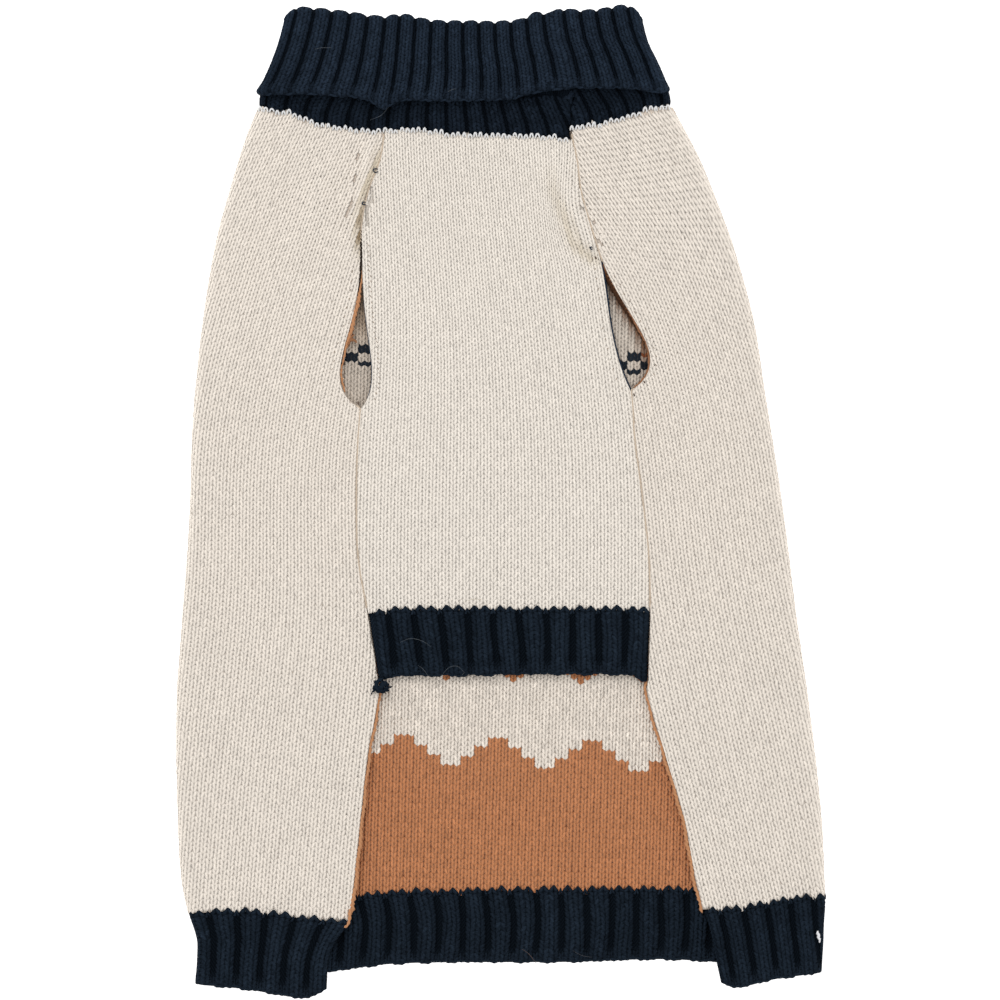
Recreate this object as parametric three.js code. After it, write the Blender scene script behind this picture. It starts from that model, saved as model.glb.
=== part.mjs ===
// A knitted dog sweater lying flat, belly side up, as a standalone three.js scene graph.
// Millimetres, +Z up. +Y runs towards the collar and +X to the right of the belly.
// The origin is on the floor under the middle of the garment.

import * as THREE from 'three';

// Cloth

const WALL = 2.2; // thickness of the knitted cloth
const SEAM_GAP = 0.3; // clearance between two sewn pieces
const LAYER_GAP = 0.4; // clearance between a layer and the one that it lies on
const RIB_RISE = 0.9; // how far a rib stands over the cloth between the ribs

// Heights over the floor

const TWO_LAYERS = 2 * WALL + LAYER_GAP;
const FRONT_TOP = TWO_LAYERS; // top face of the flaps and the belly
const FOLD_TOP = 6.8; // top face where the cloth folds over at the sides
const FOLD_SOFTNESS = 28; // how far in from a side the fold has settled
const NECK_HOLLOW = 1.2; // air inside the flattened neck
const COLLAR_TOP = 2 * TWO_LAYERS + NECK_HOLLOW; // the collar is turned down, so four layers lie there

// Outline of the body from the neck to the hem band.
// y: place along the length, folds: the outermost line at each side, seams: where a flap meets the belly
// piece, and below the belly piece the flap's free edge.

const BODY = [
  { y: 182, leftFold: -111.5, leftSeam: -53.8, rightSeam: 32.2, rightFold: 78.6 },
  { y: 170, leftFold: -116.4, leftSeam: -53.8, rightSeam: 32.4, rightFold: 85.1 },
  { y: 157, leftFold: -120.8, leftSeam: -55.7, rightSeam: 35.0, rightFold: 91.8 },
  { y: 143, leftFold: -124.9, leftSeam: -61.0, rightSeam: 36.8, rightFold: 97.5 },
  { y: 127, leftFold: -129.5, leftSeam: -64.2, rightSeam: 41.2, rightFold: 103.7 },
  { y: 111, leftFold: -132.9, leftSeam: -64.2, rightSeam: 46.0, rightFold: 109.0 },
  { y: 83, leftFold: -137.3, leftSeam: -64.2, rightSeam: 52.2, rightFold: 116.4 },
  { y: 51, leftFold: -140.8, leftSeam: -64.2, rightSeam: 59.8, rightFold: 121.4 },
  { y: 28, leftFold: -142.4, leftSeam: -65.8, rightSeam: 61.6, rightFold: 125.1 },
  { y: 0, leftFold: -143.1, leftSeam: -66.5, rightSeam: 65.3, rightFold: 129.3 },
  { y: -27, leftFold: -144.7, leftSeam: -65.6, rightSeam: 68.1, rightFold: 132.9 },
  { y: -52, leftFold: -146.7, leftSeam: -61.2, rightSeam: 68.5, rightFold: 135.9 },
  { y: -81, leftFold: -148.8, leftSeam: -56.6, rightSeam: 67.6, rightFold: 140.1 },
  { y: -89, leftFold: -149.3, leftSeam: -56.1, rightSeam: 67.2, rightFold: 141.2 },
  { y: -117, leftFold: -149.5, leftSeam: -61.0, rightSeam: 75.4, rightFold: 144.7 },
  { y: -147, leftFold: -148.8, leftSeam: -64.4, rightSeam: 84.2, rightFold: 147.7 },
  { y: -174, leftFold: -147.2, leftSeam: -67.2, rightSeam: 89.2, rightFold: 149.0 },
  { y: -191, leftFold: -143.8, leftSeam: -69.4, rightSeam: 93.4, rightFold: 149.5 },
];

// Leg openings: teardrops left open in the seams, widest towards the hem.
// grow and close are the powers of the drop's upper and lower end.

const LEG_OPENINGS = {
  left: { top: 127, bottom: 43, flapCut: 9.9, bellyCut: 4.6, grow: 1.8, close: 0.45 },
  right: { top: 118, bottom: 51, flapCut: 12.2, bellyCut: 2.4, grow: 1.3, close: 0.55 },
};

// Neck seam on the top layer and on the layer below it

const NECK_FRONT = [
  { x: -112, y: 181.0 },
  { x: -99, y: 178.0 },
  { x: -83, y: 173.8 },
  { x: -66, y: 170.4 },
  { x: -30, y: 169.8 },
  { x: 0, y: 169.0 },
  { x: 33, y: 170.2 },
  { x: 47, y: 173.4 },
  { x: 64, y: 178.0 },
  { x: 79, y: 182.0 },
];

const NECK_BACK = [
  { x: -112, y: 181.0 },
  { x: -60, y: 175.5 },
  { x: -17, y: 173.5 },
  { x: 30, y: 176.0 },
  { x: 79, y: 182.0 },
];

// Hem seam between the back panel and its ribbed band, and the band's lower edge.
// The two flaps and the layer below them are measured apart.

const HEM_SEAM = {
  leftFlap: [{ x: -144, y: -189.6 }, { x: -117, y: -188.8 }, { x: -87, y: -192.4 }, { x: -68, y: -194.0 }],
  rightFlap: [{ x: 92, y: -187.8 }, { x: 106, y: -187.8 }, { x: 132, y: -183.2 }, { x: 150, y: -181.8 }],
  back: [
    { x: -144, y: -189.6 },
    { x: -66, y: -181.8 },
    { x: -37, y: -179.9 },
    { x: 89, y: -179.0 },
    { x: 150, y: -181.8 },
  ],
};

const HEM_EDGE = {
  leftFlap: [
    { x: -141, y: -222.2 },
    { x: -117, y: -224.6 },
    { x: -97, y: -228.0 },
    { x: -89, y: -228.5 },
    { x: -80, y: -224.4 },
  ],
  rightFlap: [{ x: 101, y: -221.4 }, { x: 108, y: -223.8 }, { x: 126, y: -219.9 }, { x: 147, y: -217.0 }],
  back: [
    { x: -141, y: -222.2 },
    { x: -79, y: -216.7 },
    { x: -47, y: -213.0 },
    { x: 31, y: -212.3 },
    { x: 81, y: -211.2 },
    { x: 147, y: -217.0 },
  ],
};

// Hem band's sides, from its seam (down 0) to its lower edge (down 1)

const HEM_BAND = [
  { down: 0.0, leftFold: -143.6, leftSeam: -69.8, rightSeam: 93.6, rightFold: 149.5 },
  { down: 0.35, leftFold: -140.8, leftSeam: -76.8, rightSeam: 96.8, rightFold: 148.7 },
  { down: 0.6, leftFold: -140.4, leftSeam: -79.4, rightSeam: 98.4, rightFold: 148.2 },
  { down: 1.0, leftFold: -141.0, leftSeam: -80.2, rightSeam: 101.2, rightFold: 147.0 },
];

// Belly piece's ribbed band

const BELLY_BAND_TOP = -50.2;
const BELLY_BAND_BOTTOM = -80.4;

// Collar: its sides from the fold at the top (down 0) to the turned edge (down 1)

const COLLAR_SIDES = [
  { down: 0.0, left: -100.6, right: 65.6 },
  { down: 0.3, left: -103.4, right: 68.4 },
  { down: 0.65, left: -107.6, right: 74.2 },
  { down: 1.0, left: -112.8, right: 77.6 },
];

// Collar's fold line and turned edge, by the share of its width from left to right

const COLLAR_FOLD = [
  { across: 0.0, y: 220.0 },
  { across: 0.05, y: 227.0 },
  { across: 0.24, y: 223.8 },
  { across: 0.35, y: 224.0 },
  { across: 0.44, y: 221.4 },
  { across: 0.62, y: 221.4 },
  { across: 0.74, y: 226.6 },
  { across: 0.84, y: 226.3 },
  { across: 0.92, y: 228.5 },
  { across: 1.0, y: 221.0 },
];

const COLLAR_EDGE = [
  { across: 0.0, y: 186.0 },
  { across: 0.16, y: 186.3 },
  { across: 0.25, y: 184.7 },
  { across: 0.31, y: 180.2 },
  { across: 0.37, y: 184.0 },
  { across: 0.6, y: 183.2 },
  { across: 0.67, y: 186.8 },
  { across: 0.72, y: 185.2 },
  { across: 0.78, y: 189.2 },
  { across: 0.92, y: 189.5 },
  { across: 1.0, y: 186.5 },
];

// Share of the standing layer's height where it starts to slope down to the neck seam
const STANDING_SLOPE = 0.5;

// Soft creases of the top layer: a ridge from one place to another, its rise and its half width

const CREASES = [
  { x: -55, y: 164, toX: -66, toY: 118, rise: 1.6, reach: 5 }, // along the left seam
  { x: -78, y: 158, toX: -88, toY: 120, rise: 0.9, reach: 7 },
  { x: 25, y: 146, toX: 27, toY: 126, rise: 2.2, reach: 4 }, // pucker in the belly by the right seam
  { x: 28, y: 124, toX: 44, toY: 108, rise: 1.6, reach: 4 },
  { x: 62, y: 160, toX: 84, toY: 118, rise: 0.9, reach: 7 },
  { x: -60, y: -95, toX: -66, toY: -180, rise: 0.6, reach: 5 }, // free edge of the left flap
  { x: 74, y: -100, toX: 90, toY: -176, rise: 0.6, reach: 5 }, // free edge of the right flap
];

// Where the flaps start to climb over the ribs of the hem band below them, and the length of the climb

const CLIMB_START = -160;
const CLIMB_LENGTH = 26;

// A crease fades in and out over this share of its length, half of it past each end
const CREASE_FADE = 0.5;

// Ribs: a rib's rise, top and fall as shares of one repeat, and each piece's count of repeats

const RIB_REPEAT = [
  { share: 0.0, rise: 0 },
  { share: 0.14, rise: 1 },
  { share: 0.54, rise: 1 },
  { share: 0.68, rise: 0 },
];
const COLLAR_RIBS = 24;
const BELLY_BAND_RIBS = 11;
const BACK_BAND_RIBS = 24;
const LEFT_FLAP_RIBS = 6;
const RIGHT_FLAP_RIBS = 5;

// The ribs start soft at a band's seam and flatten to a welt at its free edge, in shares of its depth
const RIB_START = 0.12;
const WELT_START = 0.8;
const WELT_FLATNESS = 0.6;

// How finely each surface is divided

const NECK_ROW = 172; // first and last straight rows of the body
const HEM_ROW = -186;
const ROW_SPACING = 12;
const FOLD_STEPS = 6;
const FLAP_STEPS = 7;
const BACK_STEPS = 10;
const BELLY_STEPS = 14;
const TURN_STEPS = 4;
const BAND_ROWS = [0, RIB_START, 0.45, WELT_START, 1];
const END_ROWS = 4; // rows that bend into the neck and hem seams
const MEETING_REPEATS = 6;

// Small helpers

const lerp = (from, to, share) => from + (to - from) * share;

const ease = (share) => {
  const held = Math.min(1, Math.max(0, share));
  return held * held * (3 - 2 * held);
};

const steps = (count) => Array.from({ length: count + 1 }, (_, i) => i / count);

// Value of one column of a table at a place, on a smooth curve through its rows.
function along(table, key, column, place) {
  const rising = table[table.length - 1][key] > table[0][key];
  const rows = rising ? table : [...table].reverse();
  const held = Math.min(rows[rows.length - 1][key], Math.max(rows[0][key], place));
  let next = 1;
  while (next < rows.length - 1 && rows[next][key] < held) next += 1;
  const [a, b] = [rows[next - 1], rows[next]];
  const before = rows[Math.max(next - 2, 0)];
  const after = rows[Math.min(next + 1, rows.length - 1)];
  const span = b[key] - a[key];
  const slopeAt = (from, to) => (to[column] - from[column]) / (to[key] - from[key]);
  const [startSlope, endSlope] = [slopeAt(before, b) * span, slopeAt(a, after) * span];
  const t = (held - a[key]) / span;
  const [t2, t3] = [t * t, t * t * t];
  return (2 * t3 - 3 * t2 + 1) * a[column] + (t3 - 2 * t2 + t) * startSlope
    + (3 * t2 - 2 * t3) * b[column] + (t3 - t2) * endSlope;
}

// Share of a leg opening's width at a place along the seam, 0 outside it.
function openingShare(opening, y) {
  const t = (opening.top - y) / (opening.top - opening.bottom);
  if (t <= 0 || t >= 1) return 0;
  const drop = (share) => share ** opening.grow * (1 - share) ** opening.close;
  return drop(t) / drop(opening.grow / (opening.grow + opening.close));
}

// Lines of the body at a place along its length.
function bodyLines(y) {
  const left = LEG_OPENINGS.left;
  const right = LEG_OPENINGS.right;
  const leftSeam = along(BODY, 'y', 'leftSeam', y);
  const rightSeam = along(BODY, 'y', 'rightSeam', y);
  const half = SEAM_GAP / 2;
  return {
    leftFold: along(BODY, 'y', 'leftFold', y),
    rightFold: along(BODY, 'y', 'rightFold', y),
    leftFlap: leftSeam - half - left.flapCut * openingShare(left, y),
    rightFlap: rightSeam + half + right.flapCut * openingShare(right, y),
    bellyLeft: leftSeam + half + left.bellyCut * openingShare(left, y),
    bellyRight: rightSeam - half - right.bellyCut * openingShare(right, y),
  };
}

// Lines of the hem band at a share of its depth.
function bandLines(down) {
  const line = (column) => along(HEM_BAND, 'down', column, down);
  return {
    leftFold: line('leftFold'),
    rightFold: line('rightFold'),
    leftFlap: line('leftSeam'),
    rightFlap: line('rightSeam'),
  };
}

// Rise of the creases over a flat top layer.
function creaseRise(x, y) {
  let rise = 0;
  for (const crease of CREASES) {
    const [runX, runY] = [crease.toX - crease.x, crease.toY - crease.y];
    const length = Math.hypot(runX, runY);
    const t = ((x - crease.x) * runX + (y - crease.y) * runY) / length ** 2;
    const off = ((x - crease.x) * runY - (y - crease.y) * runX) / length;
    const taper = ease(t / CREASE_FADE + 0.5) * ease((1 - t) / CREASE_FADE + 0.5);
    rise += crease.rise * taper * Math.exp(-((off / crease.reach) ** 2));
  }
  return rise;
}

// Top face of the flaps and belly: low in the middle, higher at the side folds and over the hem band's
// ribs, and lifted by the creases.
function frontHeight(lines, x, y) {
  const inFromSide = Math.min(x - lines.leftFold, lines.rightFold - x) - FOLD_TOP / 2;
  const settled = ease(inFromSide / FOLD_SOFTNESS);
  const overRibs = RIB_RISE * ease((CLIMB_START - y) / CLIMB_LENGTH) * settled;
  return lerp(FOLD_TOP, FRONT_TOP, settled) + overRibs + creaseRise(x, y) * settled;
}

// Point of the cloth that wraps round the body. Column is a zone and a share of it: the left flap from its
// inner edge outwards, the left fold, the back from left to right, the right fold and the right flap.
// Inset is the depth below the outer face.
function wrapPoint(lines, column, y, inset) {
  const radius = FOLD_TOP / 2;
  const [leftTurn, rightTurn] = [lines.leftFold + radius, lines.rightFold - radius];
  if (column.zone === 'back') {
    return [lerp(leftTurn, rightTurn, column.share), y, inset];
  }
  if (column.zone === 'leftFold' || column.zone === 'rightFold') {
    const side = column.zone === 'leftFold' ? -1 : 1;
    const turned = column.zone === 'leftFold' ? column.share : 1 - column.share;
    const angle = Math.PI * (0.5 - turned);
    const middle = side < 0 ? leftTurn : rightTurn;
    const x = middle + side * (radius - inset) * Math.cos(angle);
    return [x, y, radius + (radius - inset) * Math.sin(angle)];
  }
  const onLeft = column.zone === 'leftFlap';
  const x = onLeft
    ? lerp(lines.leftFlap, leftTurn, column.share)
    : lerp(rightTurn, lines.rightFlap, column.share);
  return [x, y, frontHeight(lines, x, y) - inset];
}

// Columns of the wrapped cloth, each zone's shares in order. A zone's first share is the last one of the
// zone before it, so it is left out.
function wrapColumns(flapLeft, back, flapRight) {
  const zones = [
    ['leftFlap', flapLeft],
    ['leftFold', steps(FOLD_STEPS)],
    ['back', back],
    ['rightFold', steps(FOLD_STEPS)],
    ['rightFlap', flapRight],
  ];
  return zones.flatMap(([zone, shares], i) => shares
    .filter((share, n) => i === 0 || n > 0)
    .map((share) => ({ zone, share })));
}

// Place along the length where a line that moves sideways meets a curve, found by a few repeats.
function meet(startY, sidewaysAt, curveAt) {
  let y = startY;
  for (let repeat = 0; repeat < MEETING_REPEATS; repeat += 1) y = curveAt(sidewaysAt(y));
  return y;
}

// Place of a column's end on curves that are measured apart for the flaps and the back.
function endOfColumn(curves, linesAt, startY, column) {
  const sideways = (y) => wrapPoint(linesAt(y), column, y, 0)[0];
  const on = (name) => meet(startY, sideways, (x) => along(curves[name], 'x', 'y', x));
  if (column.zone === 'leftFold') return lerp(on('leftFlap'), on('back'), column.share);
  if (column.zone === 'rightFold') return lerp(on('back'), on('rightFlap'), column.share);
  return on(column.zone);
}

// Solids

// A closed solid from the outer and inner points of a wall, both as rows of columns.
function wallSolid(outer, inner) {
  const rows = outer.length;
  const columns = outer[0].length;
  const at = (side, r, c) => (side * rows + r) * columns + c;
  const faces = [];
  const quad = (a, b, c, d) => faces.push(a, b, c, a, c, d);
  for (let r = 0; r + 1 < rows; r += 1) {
    for (let c = 0; c + 1 < columns; c += 1) {
      quad(at(0, r, c), at(0, r, c + 1), at(0, r + 1, c + 1), at(0, r + 1, c));
      quad(at(1, r, c), at(1, r + 1, c), at(1, r + 1, c + 1), at(1, r, c + 1));
    }
    const last = columns - 1;
    quad(at(0, r, 0), at(0, r + 1, 0), at(1, r + 1, 0), at(1, r, 0));
    quad(at(0, r, last), at(1, r, last), at(1, r + 1, last), at(0, r + 1, last));
  }
  for (let c = 0; c + 1 < columns; c += 1) {
    const last = rows - 1;
    quad(at(0, 0, c), at(1, 0, c), at(1, 0, c + 1), at(0, 0, c + 1));
    quad(at(0, last, c), at(0, last, c + 1), at(1, last, c + 1), at(1, last, c));
  }
  return solidGeometry([...outer.flat(), ...inner.flat()], faces);
}

// A closed solid from rows that close on themselves both ways, like a ring's surface.
function ringSolid(rings) {
  const rows = rings.length;
  const columns = rings[0].length;
  const at = (r, c) => (r % rows) * columns + (c % columns);
  const faces = [];
  for (let r = 0; r < rows; r += 1) {
    for (let c = 0; c < columns; c += 1) {
      const [a, b, d, e] = [at(r, c), at(r, c + 1), at(r + 1, c + 1), at(r + 1, c)];
      faces.push(a, b, d, a, d, e);
    }
  }
  return solidGeometry(rings.flat(), faces);
}

// Geometry with its faces turned outwards, which the sign of its volume tells.
function solidGeometry(points, faces) {
  let volume = 0;
  for (let i = 0; i < faces.length; i += 3) {
    const [a, b, c] = [points[faces[i]], points[faces[i + 1]], points[faces[i + 2]]];
    volume += a[0] * (b[1] * c[2] - b[2] * c[1]) + a[1] * (b[2] * c[0] - b[0] * c[2])
      + a[2] * (b[0] * c[1] - b[1] * c[0]);
  }
  const outward = volume > 0 ? faces : [...faces].reverse();
  const geometry = new THREE.BufferGeometry();
  geometry.setAttribute('position', new THREE.Float32BufferAttribute(points.flat(), 3));
  geometry.setIndex(outward);
  geometry.computeVertexNormals();
  return geometry;
}

// Rows down the body to a last one, with a row on each end of a leg opening and of the belly's band.
function bodyRows(lastRow) {
  const { left, right } = LEG_OPENINGS;
  const openings = [left.top, right.top, right.bottom, left.bottom];
  const marks = [NECK_ROW, ...openings, BELLY_BAND_TOP, BELLY_BAND_BOTTOM, HEM_ROW];
  const rows = marks.slice(0, -1).flatMap((mark, i) => {
    const count = Math.max(1, Math.round((mark - marks[i + 1]) / ROW_SPACING));
    return steps(count).slice(0, -1).map((share) => lerp(mark, marks[i + 1], share));
  });
  return [...rows, HEM_ROW].filter((y) => y >= lastRow);
}

// Rows of one column: the body's rows, bent near both ends to meet the seams there.
function bentRows(rows, top, bottom) {
  const last = rows.length - 1;
  return rows.map((y, r) => {
    const nearTop = ease(1 - r / END_ROWS);
    const nearBottom = ease(1 - (last - r) / END_ROWS);
    return y + (top - rows[0]) * nearTop + (bottom - rows[last]) * nearBottom;
  });
}

const transpose = (columns) => columns[0].map((_, r) => columns.map((column) => column[r]));

// Shares of a ribbed stretch that holds a count of ribs, each with its rise.
function ribShares(count) {
  const marks = Array.from({ length: count }, (_, i) => RIB_REPEAT.map((mark) => ({
    share: (i + mark.share) / count,
    rise: mark.rise,
  })));
  return [...marks.flat(), { share: 1, rise: 0 }];
}

// Pieces

function backPanel() {
  const curves = { leftFlap: NECK_FRONT, back: NECK_BACK, rightFlap: NECK_FRONT };
  const rows = bodyRows(HEM_ROW);
  const columns = wrapColumns(steps(FLAP_STEPS), steps(BACK_STEPS), steps(FLAP_STEPS));
  const face = (inset) => transpose(columns.map((column) => {
    const top = endOfColumn(curves, bodyLines, rows[0], column);
    const bottom = endOfColumn(HEM_SEAM, bodyLines, rows[rows.length - 1], column);
    return bentRows(rows, top, bottom).map((y) => wrapPoint(bodyLines(y), column, y, inset));
  }));
  return wallSolid(face(0), face(WALL));
}

function bellyPanel() {
  const rows = bodyRows(BELLY_BAND_TOP);
  const face = (inset) => transpose(steps(BELLY_STEPS).map((share) => {
    const sideways = (y) => lerp(bodyLines(y).bellyLeft, bodyLines(y).bellyRight, share);
    const top = meet(rows[0], sideways, (x) => along(NECK_FRONT, 'x', 'y', x));
    return bentRows(rows, top, BELLY_BAND_TOP + SEAM_GAP).map((y) => {
      const lines = bodyLines(y);
      const x = lerp(lines.bellyLeft, lines.bellyRight, share);
      return [x, y, frontHeight(lines, x, y) - inset];
    });
  }));
  return wallSolid(face(0), face(WALL));
}

// Share of the ribs' full rise towards a band's free edge, where a flatter welt ends it.
const intoWelt = (down) => 1 - WELT_FLATNESS * ease((down - WELT_START) / (1 - WELT_START));

// Share of the ribs' full rise at a share of a band's depth.
const ribAlong = (down) => ease(down / RIB_START) * intoWelt(down);

function bellyHemBand() {
  const face = (inset) => BAND_ROWS.map((down) => ribShares(BELLY_BAND_RIBS).map(({ share, rise }) => {
    const y = lerp(BELLY_BAND_TOP, BELLY_BAND_BOTTOM, down);
    const lines = bodyLines(y);
    const x = lerp(lines.bellyLeft, lines.bellyRight, share);
    const raised = inset === 0 ? RIB_RISE * rise * ribAlong(down) : 0;
    return [x, y, frontHeight(lines, x, y) - inset + raised];
  }));
  return wallSolid(face(0), face(WALL));
}

// The band's ribs stand on the faces that look up: the outer one on the flaps, the inner one on the back.
function backHemBand() {
  const ribs = {
    leftFlap: ribShares(LEFT_FLAP_RIBS),
    back: ribShares(BACK_BAND_RIBS),
    rightFlap: ribShares(RIGHT_FLAP_RIBS),
  };
  const shares = (zone) => ribs[zone].map((mark) => mark.share);
  const columns = wrapColumns(shares('leftFlap'), shares('back'), shares('rightFlap'));
  const riseOf = ({ zone, share }) => (ribs[zone] || []).find((mark) => mark.share === share)?.rise ?? 0;
  const face = (inset) => transpose(columns.map((column) => {
    const top = endOfColumn(HEM_SEAM, bodyLines, HEM_SEAM.back[0].y, column) - SEAM_GAP;
    const bottom = endOfColumn(HEM_EDGE, () => bandLines(1), HEM_EDGE.back[0].y, column);
    return BAND_ROWS.map((down) => {
      const point = wrapPoint(bandLines(down), column, lerp(top, bottom, down), inset);
      const looksUp = (column.zone === 'back') === (inset > 0);
      point[2] += looksUp ? RIB_RISE * riseOf(column) * ribAlong(down) : 0;
      return point;
    });
  }));
  return wallSolid(face(0), face(WALL));
}

// Point of a flattened ring round the neck. Tube gives its sides, its heights over the floor at the middle
// of the front, at the back and at the side folds. Column is a zone and a share of it.
function tubePoint(tube, column, inset) {
  const radius = (tube.sideTop - tube.low) / 2;
  const middle = (tube.sideTop + tube.low) / 2;
  const [leftTurn, rightTurn] = [tube.left + radius, tube.right - radius];
  if (column.zone === 'front') {
    const x = lerp(leftTurn, rightTurn, column.share);
    const settled = ease(Math.min(x - leftTurn, rightTurn - x) / FOLD_SOFTNESS);
    return [x, lerp(tube.sideTop, tube.high, settled) - inset];
  }
  if (column.zone === 'back') {
    return [lerp(rightTurn, leftTurn, column.share), tube.low + inset];
  }
  const side = column.zone === 'rightFold' ? 1 : -1;
  const angle = Math.PI * (side > 0 ? 0.5 - column.share : column.share - 0.5);
  const turn = side > 0 ? rightTurn : leftTurn;
  return [turn + side * (radius - inset) * Math.cos(angle), middle + (radius - inset) * Math.sin(angle)];
}

// Profile of the collar's wall, from the turned edge up over the fold and down the standing layer to the
// seam, then back along the wall's other face. depth is how far a point lies inside the collar's outermost
// face, and down its share of the way from the fold to the lower edge.
function collarProfile() {
  const bend = TWO_LAYERS / 2;
  const turn = (radius, seen) => steps(TURN_STEPS).map((share) => ({
    layer: 'fold',
    down: 0,
    depth: bend - radius * Math.cos(Math.PI * share),
    over: radius * Math.sin(Math.PI * share),
    seen,
  }));
  const layer = (name, depth, seen, downs) => downs.map((down) => ({ layer: name, down, depth, seen }));
  return [
    ...layer('turned', 0, true, [1, 0.9, WELT_START, 0.4]),
    ...turn(bend, true),
    ...layer('standing', TWO_LAYERS, false, [STANDING_SLOPE, 1]),
    ...layer('standing', WALL + LAYER_GAP, true, [1, 0.85, STANDING_SLOPE]),
    ...turn(LAYER_GAP / 2, false).reverse(),
    ...layer('turned', WALL, false, [0.4, 1]),
  ];
}

// Columns round the collar: ribs across the front, the right fold, the plain back and the left fold.
// across is the share of the collar's width that a column takes its heights from.
function collarColumns() {
  const turn = steps(FOLD_STEPS).slice(1, -1);
  return [
    ...ribShares(COLLAR_RIBS).map(({ share, rise }) => ({ zone: 'front', share, across: share, rise })),
    ...turn.map((share) => ({ zone: 'rightFold', share, across: 1, rise: 0 })),
    ...steps(BACK_STEPS).map((share) => ({ zone: 'back', share, across: 1 - share, rise: 0 })),
    ...turn.map((share) => ({ zone: 'leftFold', share, across: 0, rise: 0 })),
  ];
}

// Line that the front follows as measured and the back follows straight from side to side.
function collarLine(table, column) {
  if (column.zone === 'front') return along(table, 'across', 'y', column.across);
  return lerp(table[0].y, table[table.length - 1].y, column.across);
}

// Point of the turned layer or of the fold over it.
function turnedPoint(stage, column) {
  const tube = {
    left: along(COLLAR_SIDES, 'down', 'left', stage.down) + stage.depth,
    right: along(COLLAR_SIDES, 'down', 'right', stage.down) - stage.depth,
    low: stage.depth,
    high: COLLAR_TOP - stage.depth,
    sideTop: COLLAR_TOP - stage.depth,
  };
  const [x, z] = tubePoint(tube, column, 0);
  const foldY = collarLine(COLLAR_FOLD, column) - TWO_LAYERS / 2;
  const y = lerp(foldY, collarLine(COLLAR_EDGE, column), stage.down) + (stage.over ?? 0);
  const overFold = ease(1 - stage.depth / (TWO_LAYERS / 2));
  const share = stage.layer === 'fold' ? overFold : intoWelt(stage.down);
  return [x, y, z + (stage.seen ? RIB_RISE * column.rise * share : 0)];
}

// Point of the standing layer, which slopes down from under the turned one to the body's neck.
function standingPoint(stage, column) {
  const lowered = ease((stage.down - STANDING_SLOPE) / (1 - STANDING_SLOPE));
  const inside = WALL + LAYER_GAP;
  const left = along(COLLAR_SIDES, 'down', 'left', stage.down) + inside;
  const right = along(COLLAR_SIDES, 'down', 'right', stage.down) - inside;
  const at = (y) => tubePoint({
    left: lerp(left, bodyLines(y).leftFold, lowered),
    right: lerp(right, bodyLines(y).rightFold, lowered),
    low: lerp(inside, 0, lowered),
    high: lerp(COLLAR_TOP - inside, FRONT_TOP, lowered),
    sideTop: lerp(COLLAR_TOP - inside, FOLD_TOP, lowered),
  }, column, stage.depth - inside);
  const neck = column.zone === 'front' ? NECK_FRONT : NECK_BACK;
  const seamY = meet(NECK_ROW, (y) => at(y)[0], (x) => along(neck, 'x', 'y', x));
  const foldY = collarLine(COLLAR_FOLD, column) - TWO_LAYERS / 2;
  const [x, z] = at(seamY);
  const raised = stage.seen ? RIB_RISE * column.rise * ease(lowered / 0.5) : 0;
  return [x, lerp(foldY, seamY + SEAM_GAP, stage.down), z + raised];
}

function collar() {
  const columns = collarColumns();
  return ringSolid(collarProfile().map((stage) => columns.map((column) => (
    stage.layer === 'standing' ? standingPoint(stage, column) : turnedPoint(stage, column)))));
}

// The sweater

const KNIT_CREAM = new THREE.MeshStandardMaterial({ color: 0xe6ded0, roughness: 0.95, metalness: 0 });
const KNIT_OAT = new THREE.MeshStandardMaterial({ color: 0xdcd3c2, roughness: 0.95, metalness: 0 });
const RIB_NAVY = new THREE.MeshStandardMaterial({ color: 0x1a2432, roughness: 0.95, metalness: 0 });

const sweater = new THREE.Group();

function addPiece(name, geometry, material) {
  const mesh = new THREE.Mesh(geometry, material);
  mesh.name = name;
  sweater.add(mesh);
}

addPiece('back_panel', backPanel(), KNIT_CREAM);
addPiece('belly_panel', bellyPanel(), KNIT_OAT);
addPiece('collar', collar(), RIB_NAVY);
addPiece('belly_hem_band', bellyHemBand(), RIB_NAVY);
addPiece('back_hem_band', backHemBand(), RIB_NAVY);

export default sweater;
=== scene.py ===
"""A knitted dog sweater laid flat, belly side up, with its cloth as walls and its knit as single stitches.

Sizes are in millimetres and become metres where a mesh is made. +Y runs towards the collar, +X to the
right of the belly and +Z up from the floor.
"""

import math

import bpy
import numpy as np
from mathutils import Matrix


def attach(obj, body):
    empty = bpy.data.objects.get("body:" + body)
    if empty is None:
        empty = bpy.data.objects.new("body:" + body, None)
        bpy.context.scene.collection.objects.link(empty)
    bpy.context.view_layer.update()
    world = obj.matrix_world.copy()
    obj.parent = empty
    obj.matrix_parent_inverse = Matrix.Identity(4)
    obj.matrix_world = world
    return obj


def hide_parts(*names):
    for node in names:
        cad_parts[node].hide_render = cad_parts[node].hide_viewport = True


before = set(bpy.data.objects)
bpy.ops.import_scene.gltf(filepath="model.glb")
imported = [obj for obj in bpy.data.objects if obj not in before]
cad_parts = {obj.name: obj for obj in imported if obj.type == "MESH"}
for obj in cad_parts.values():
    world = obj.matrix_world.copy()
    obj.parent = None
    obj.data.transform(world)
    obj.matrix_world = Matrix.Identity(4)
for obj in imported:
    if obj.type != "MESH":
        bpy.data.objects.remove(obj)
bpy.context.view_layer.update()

# Cloth

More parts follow.
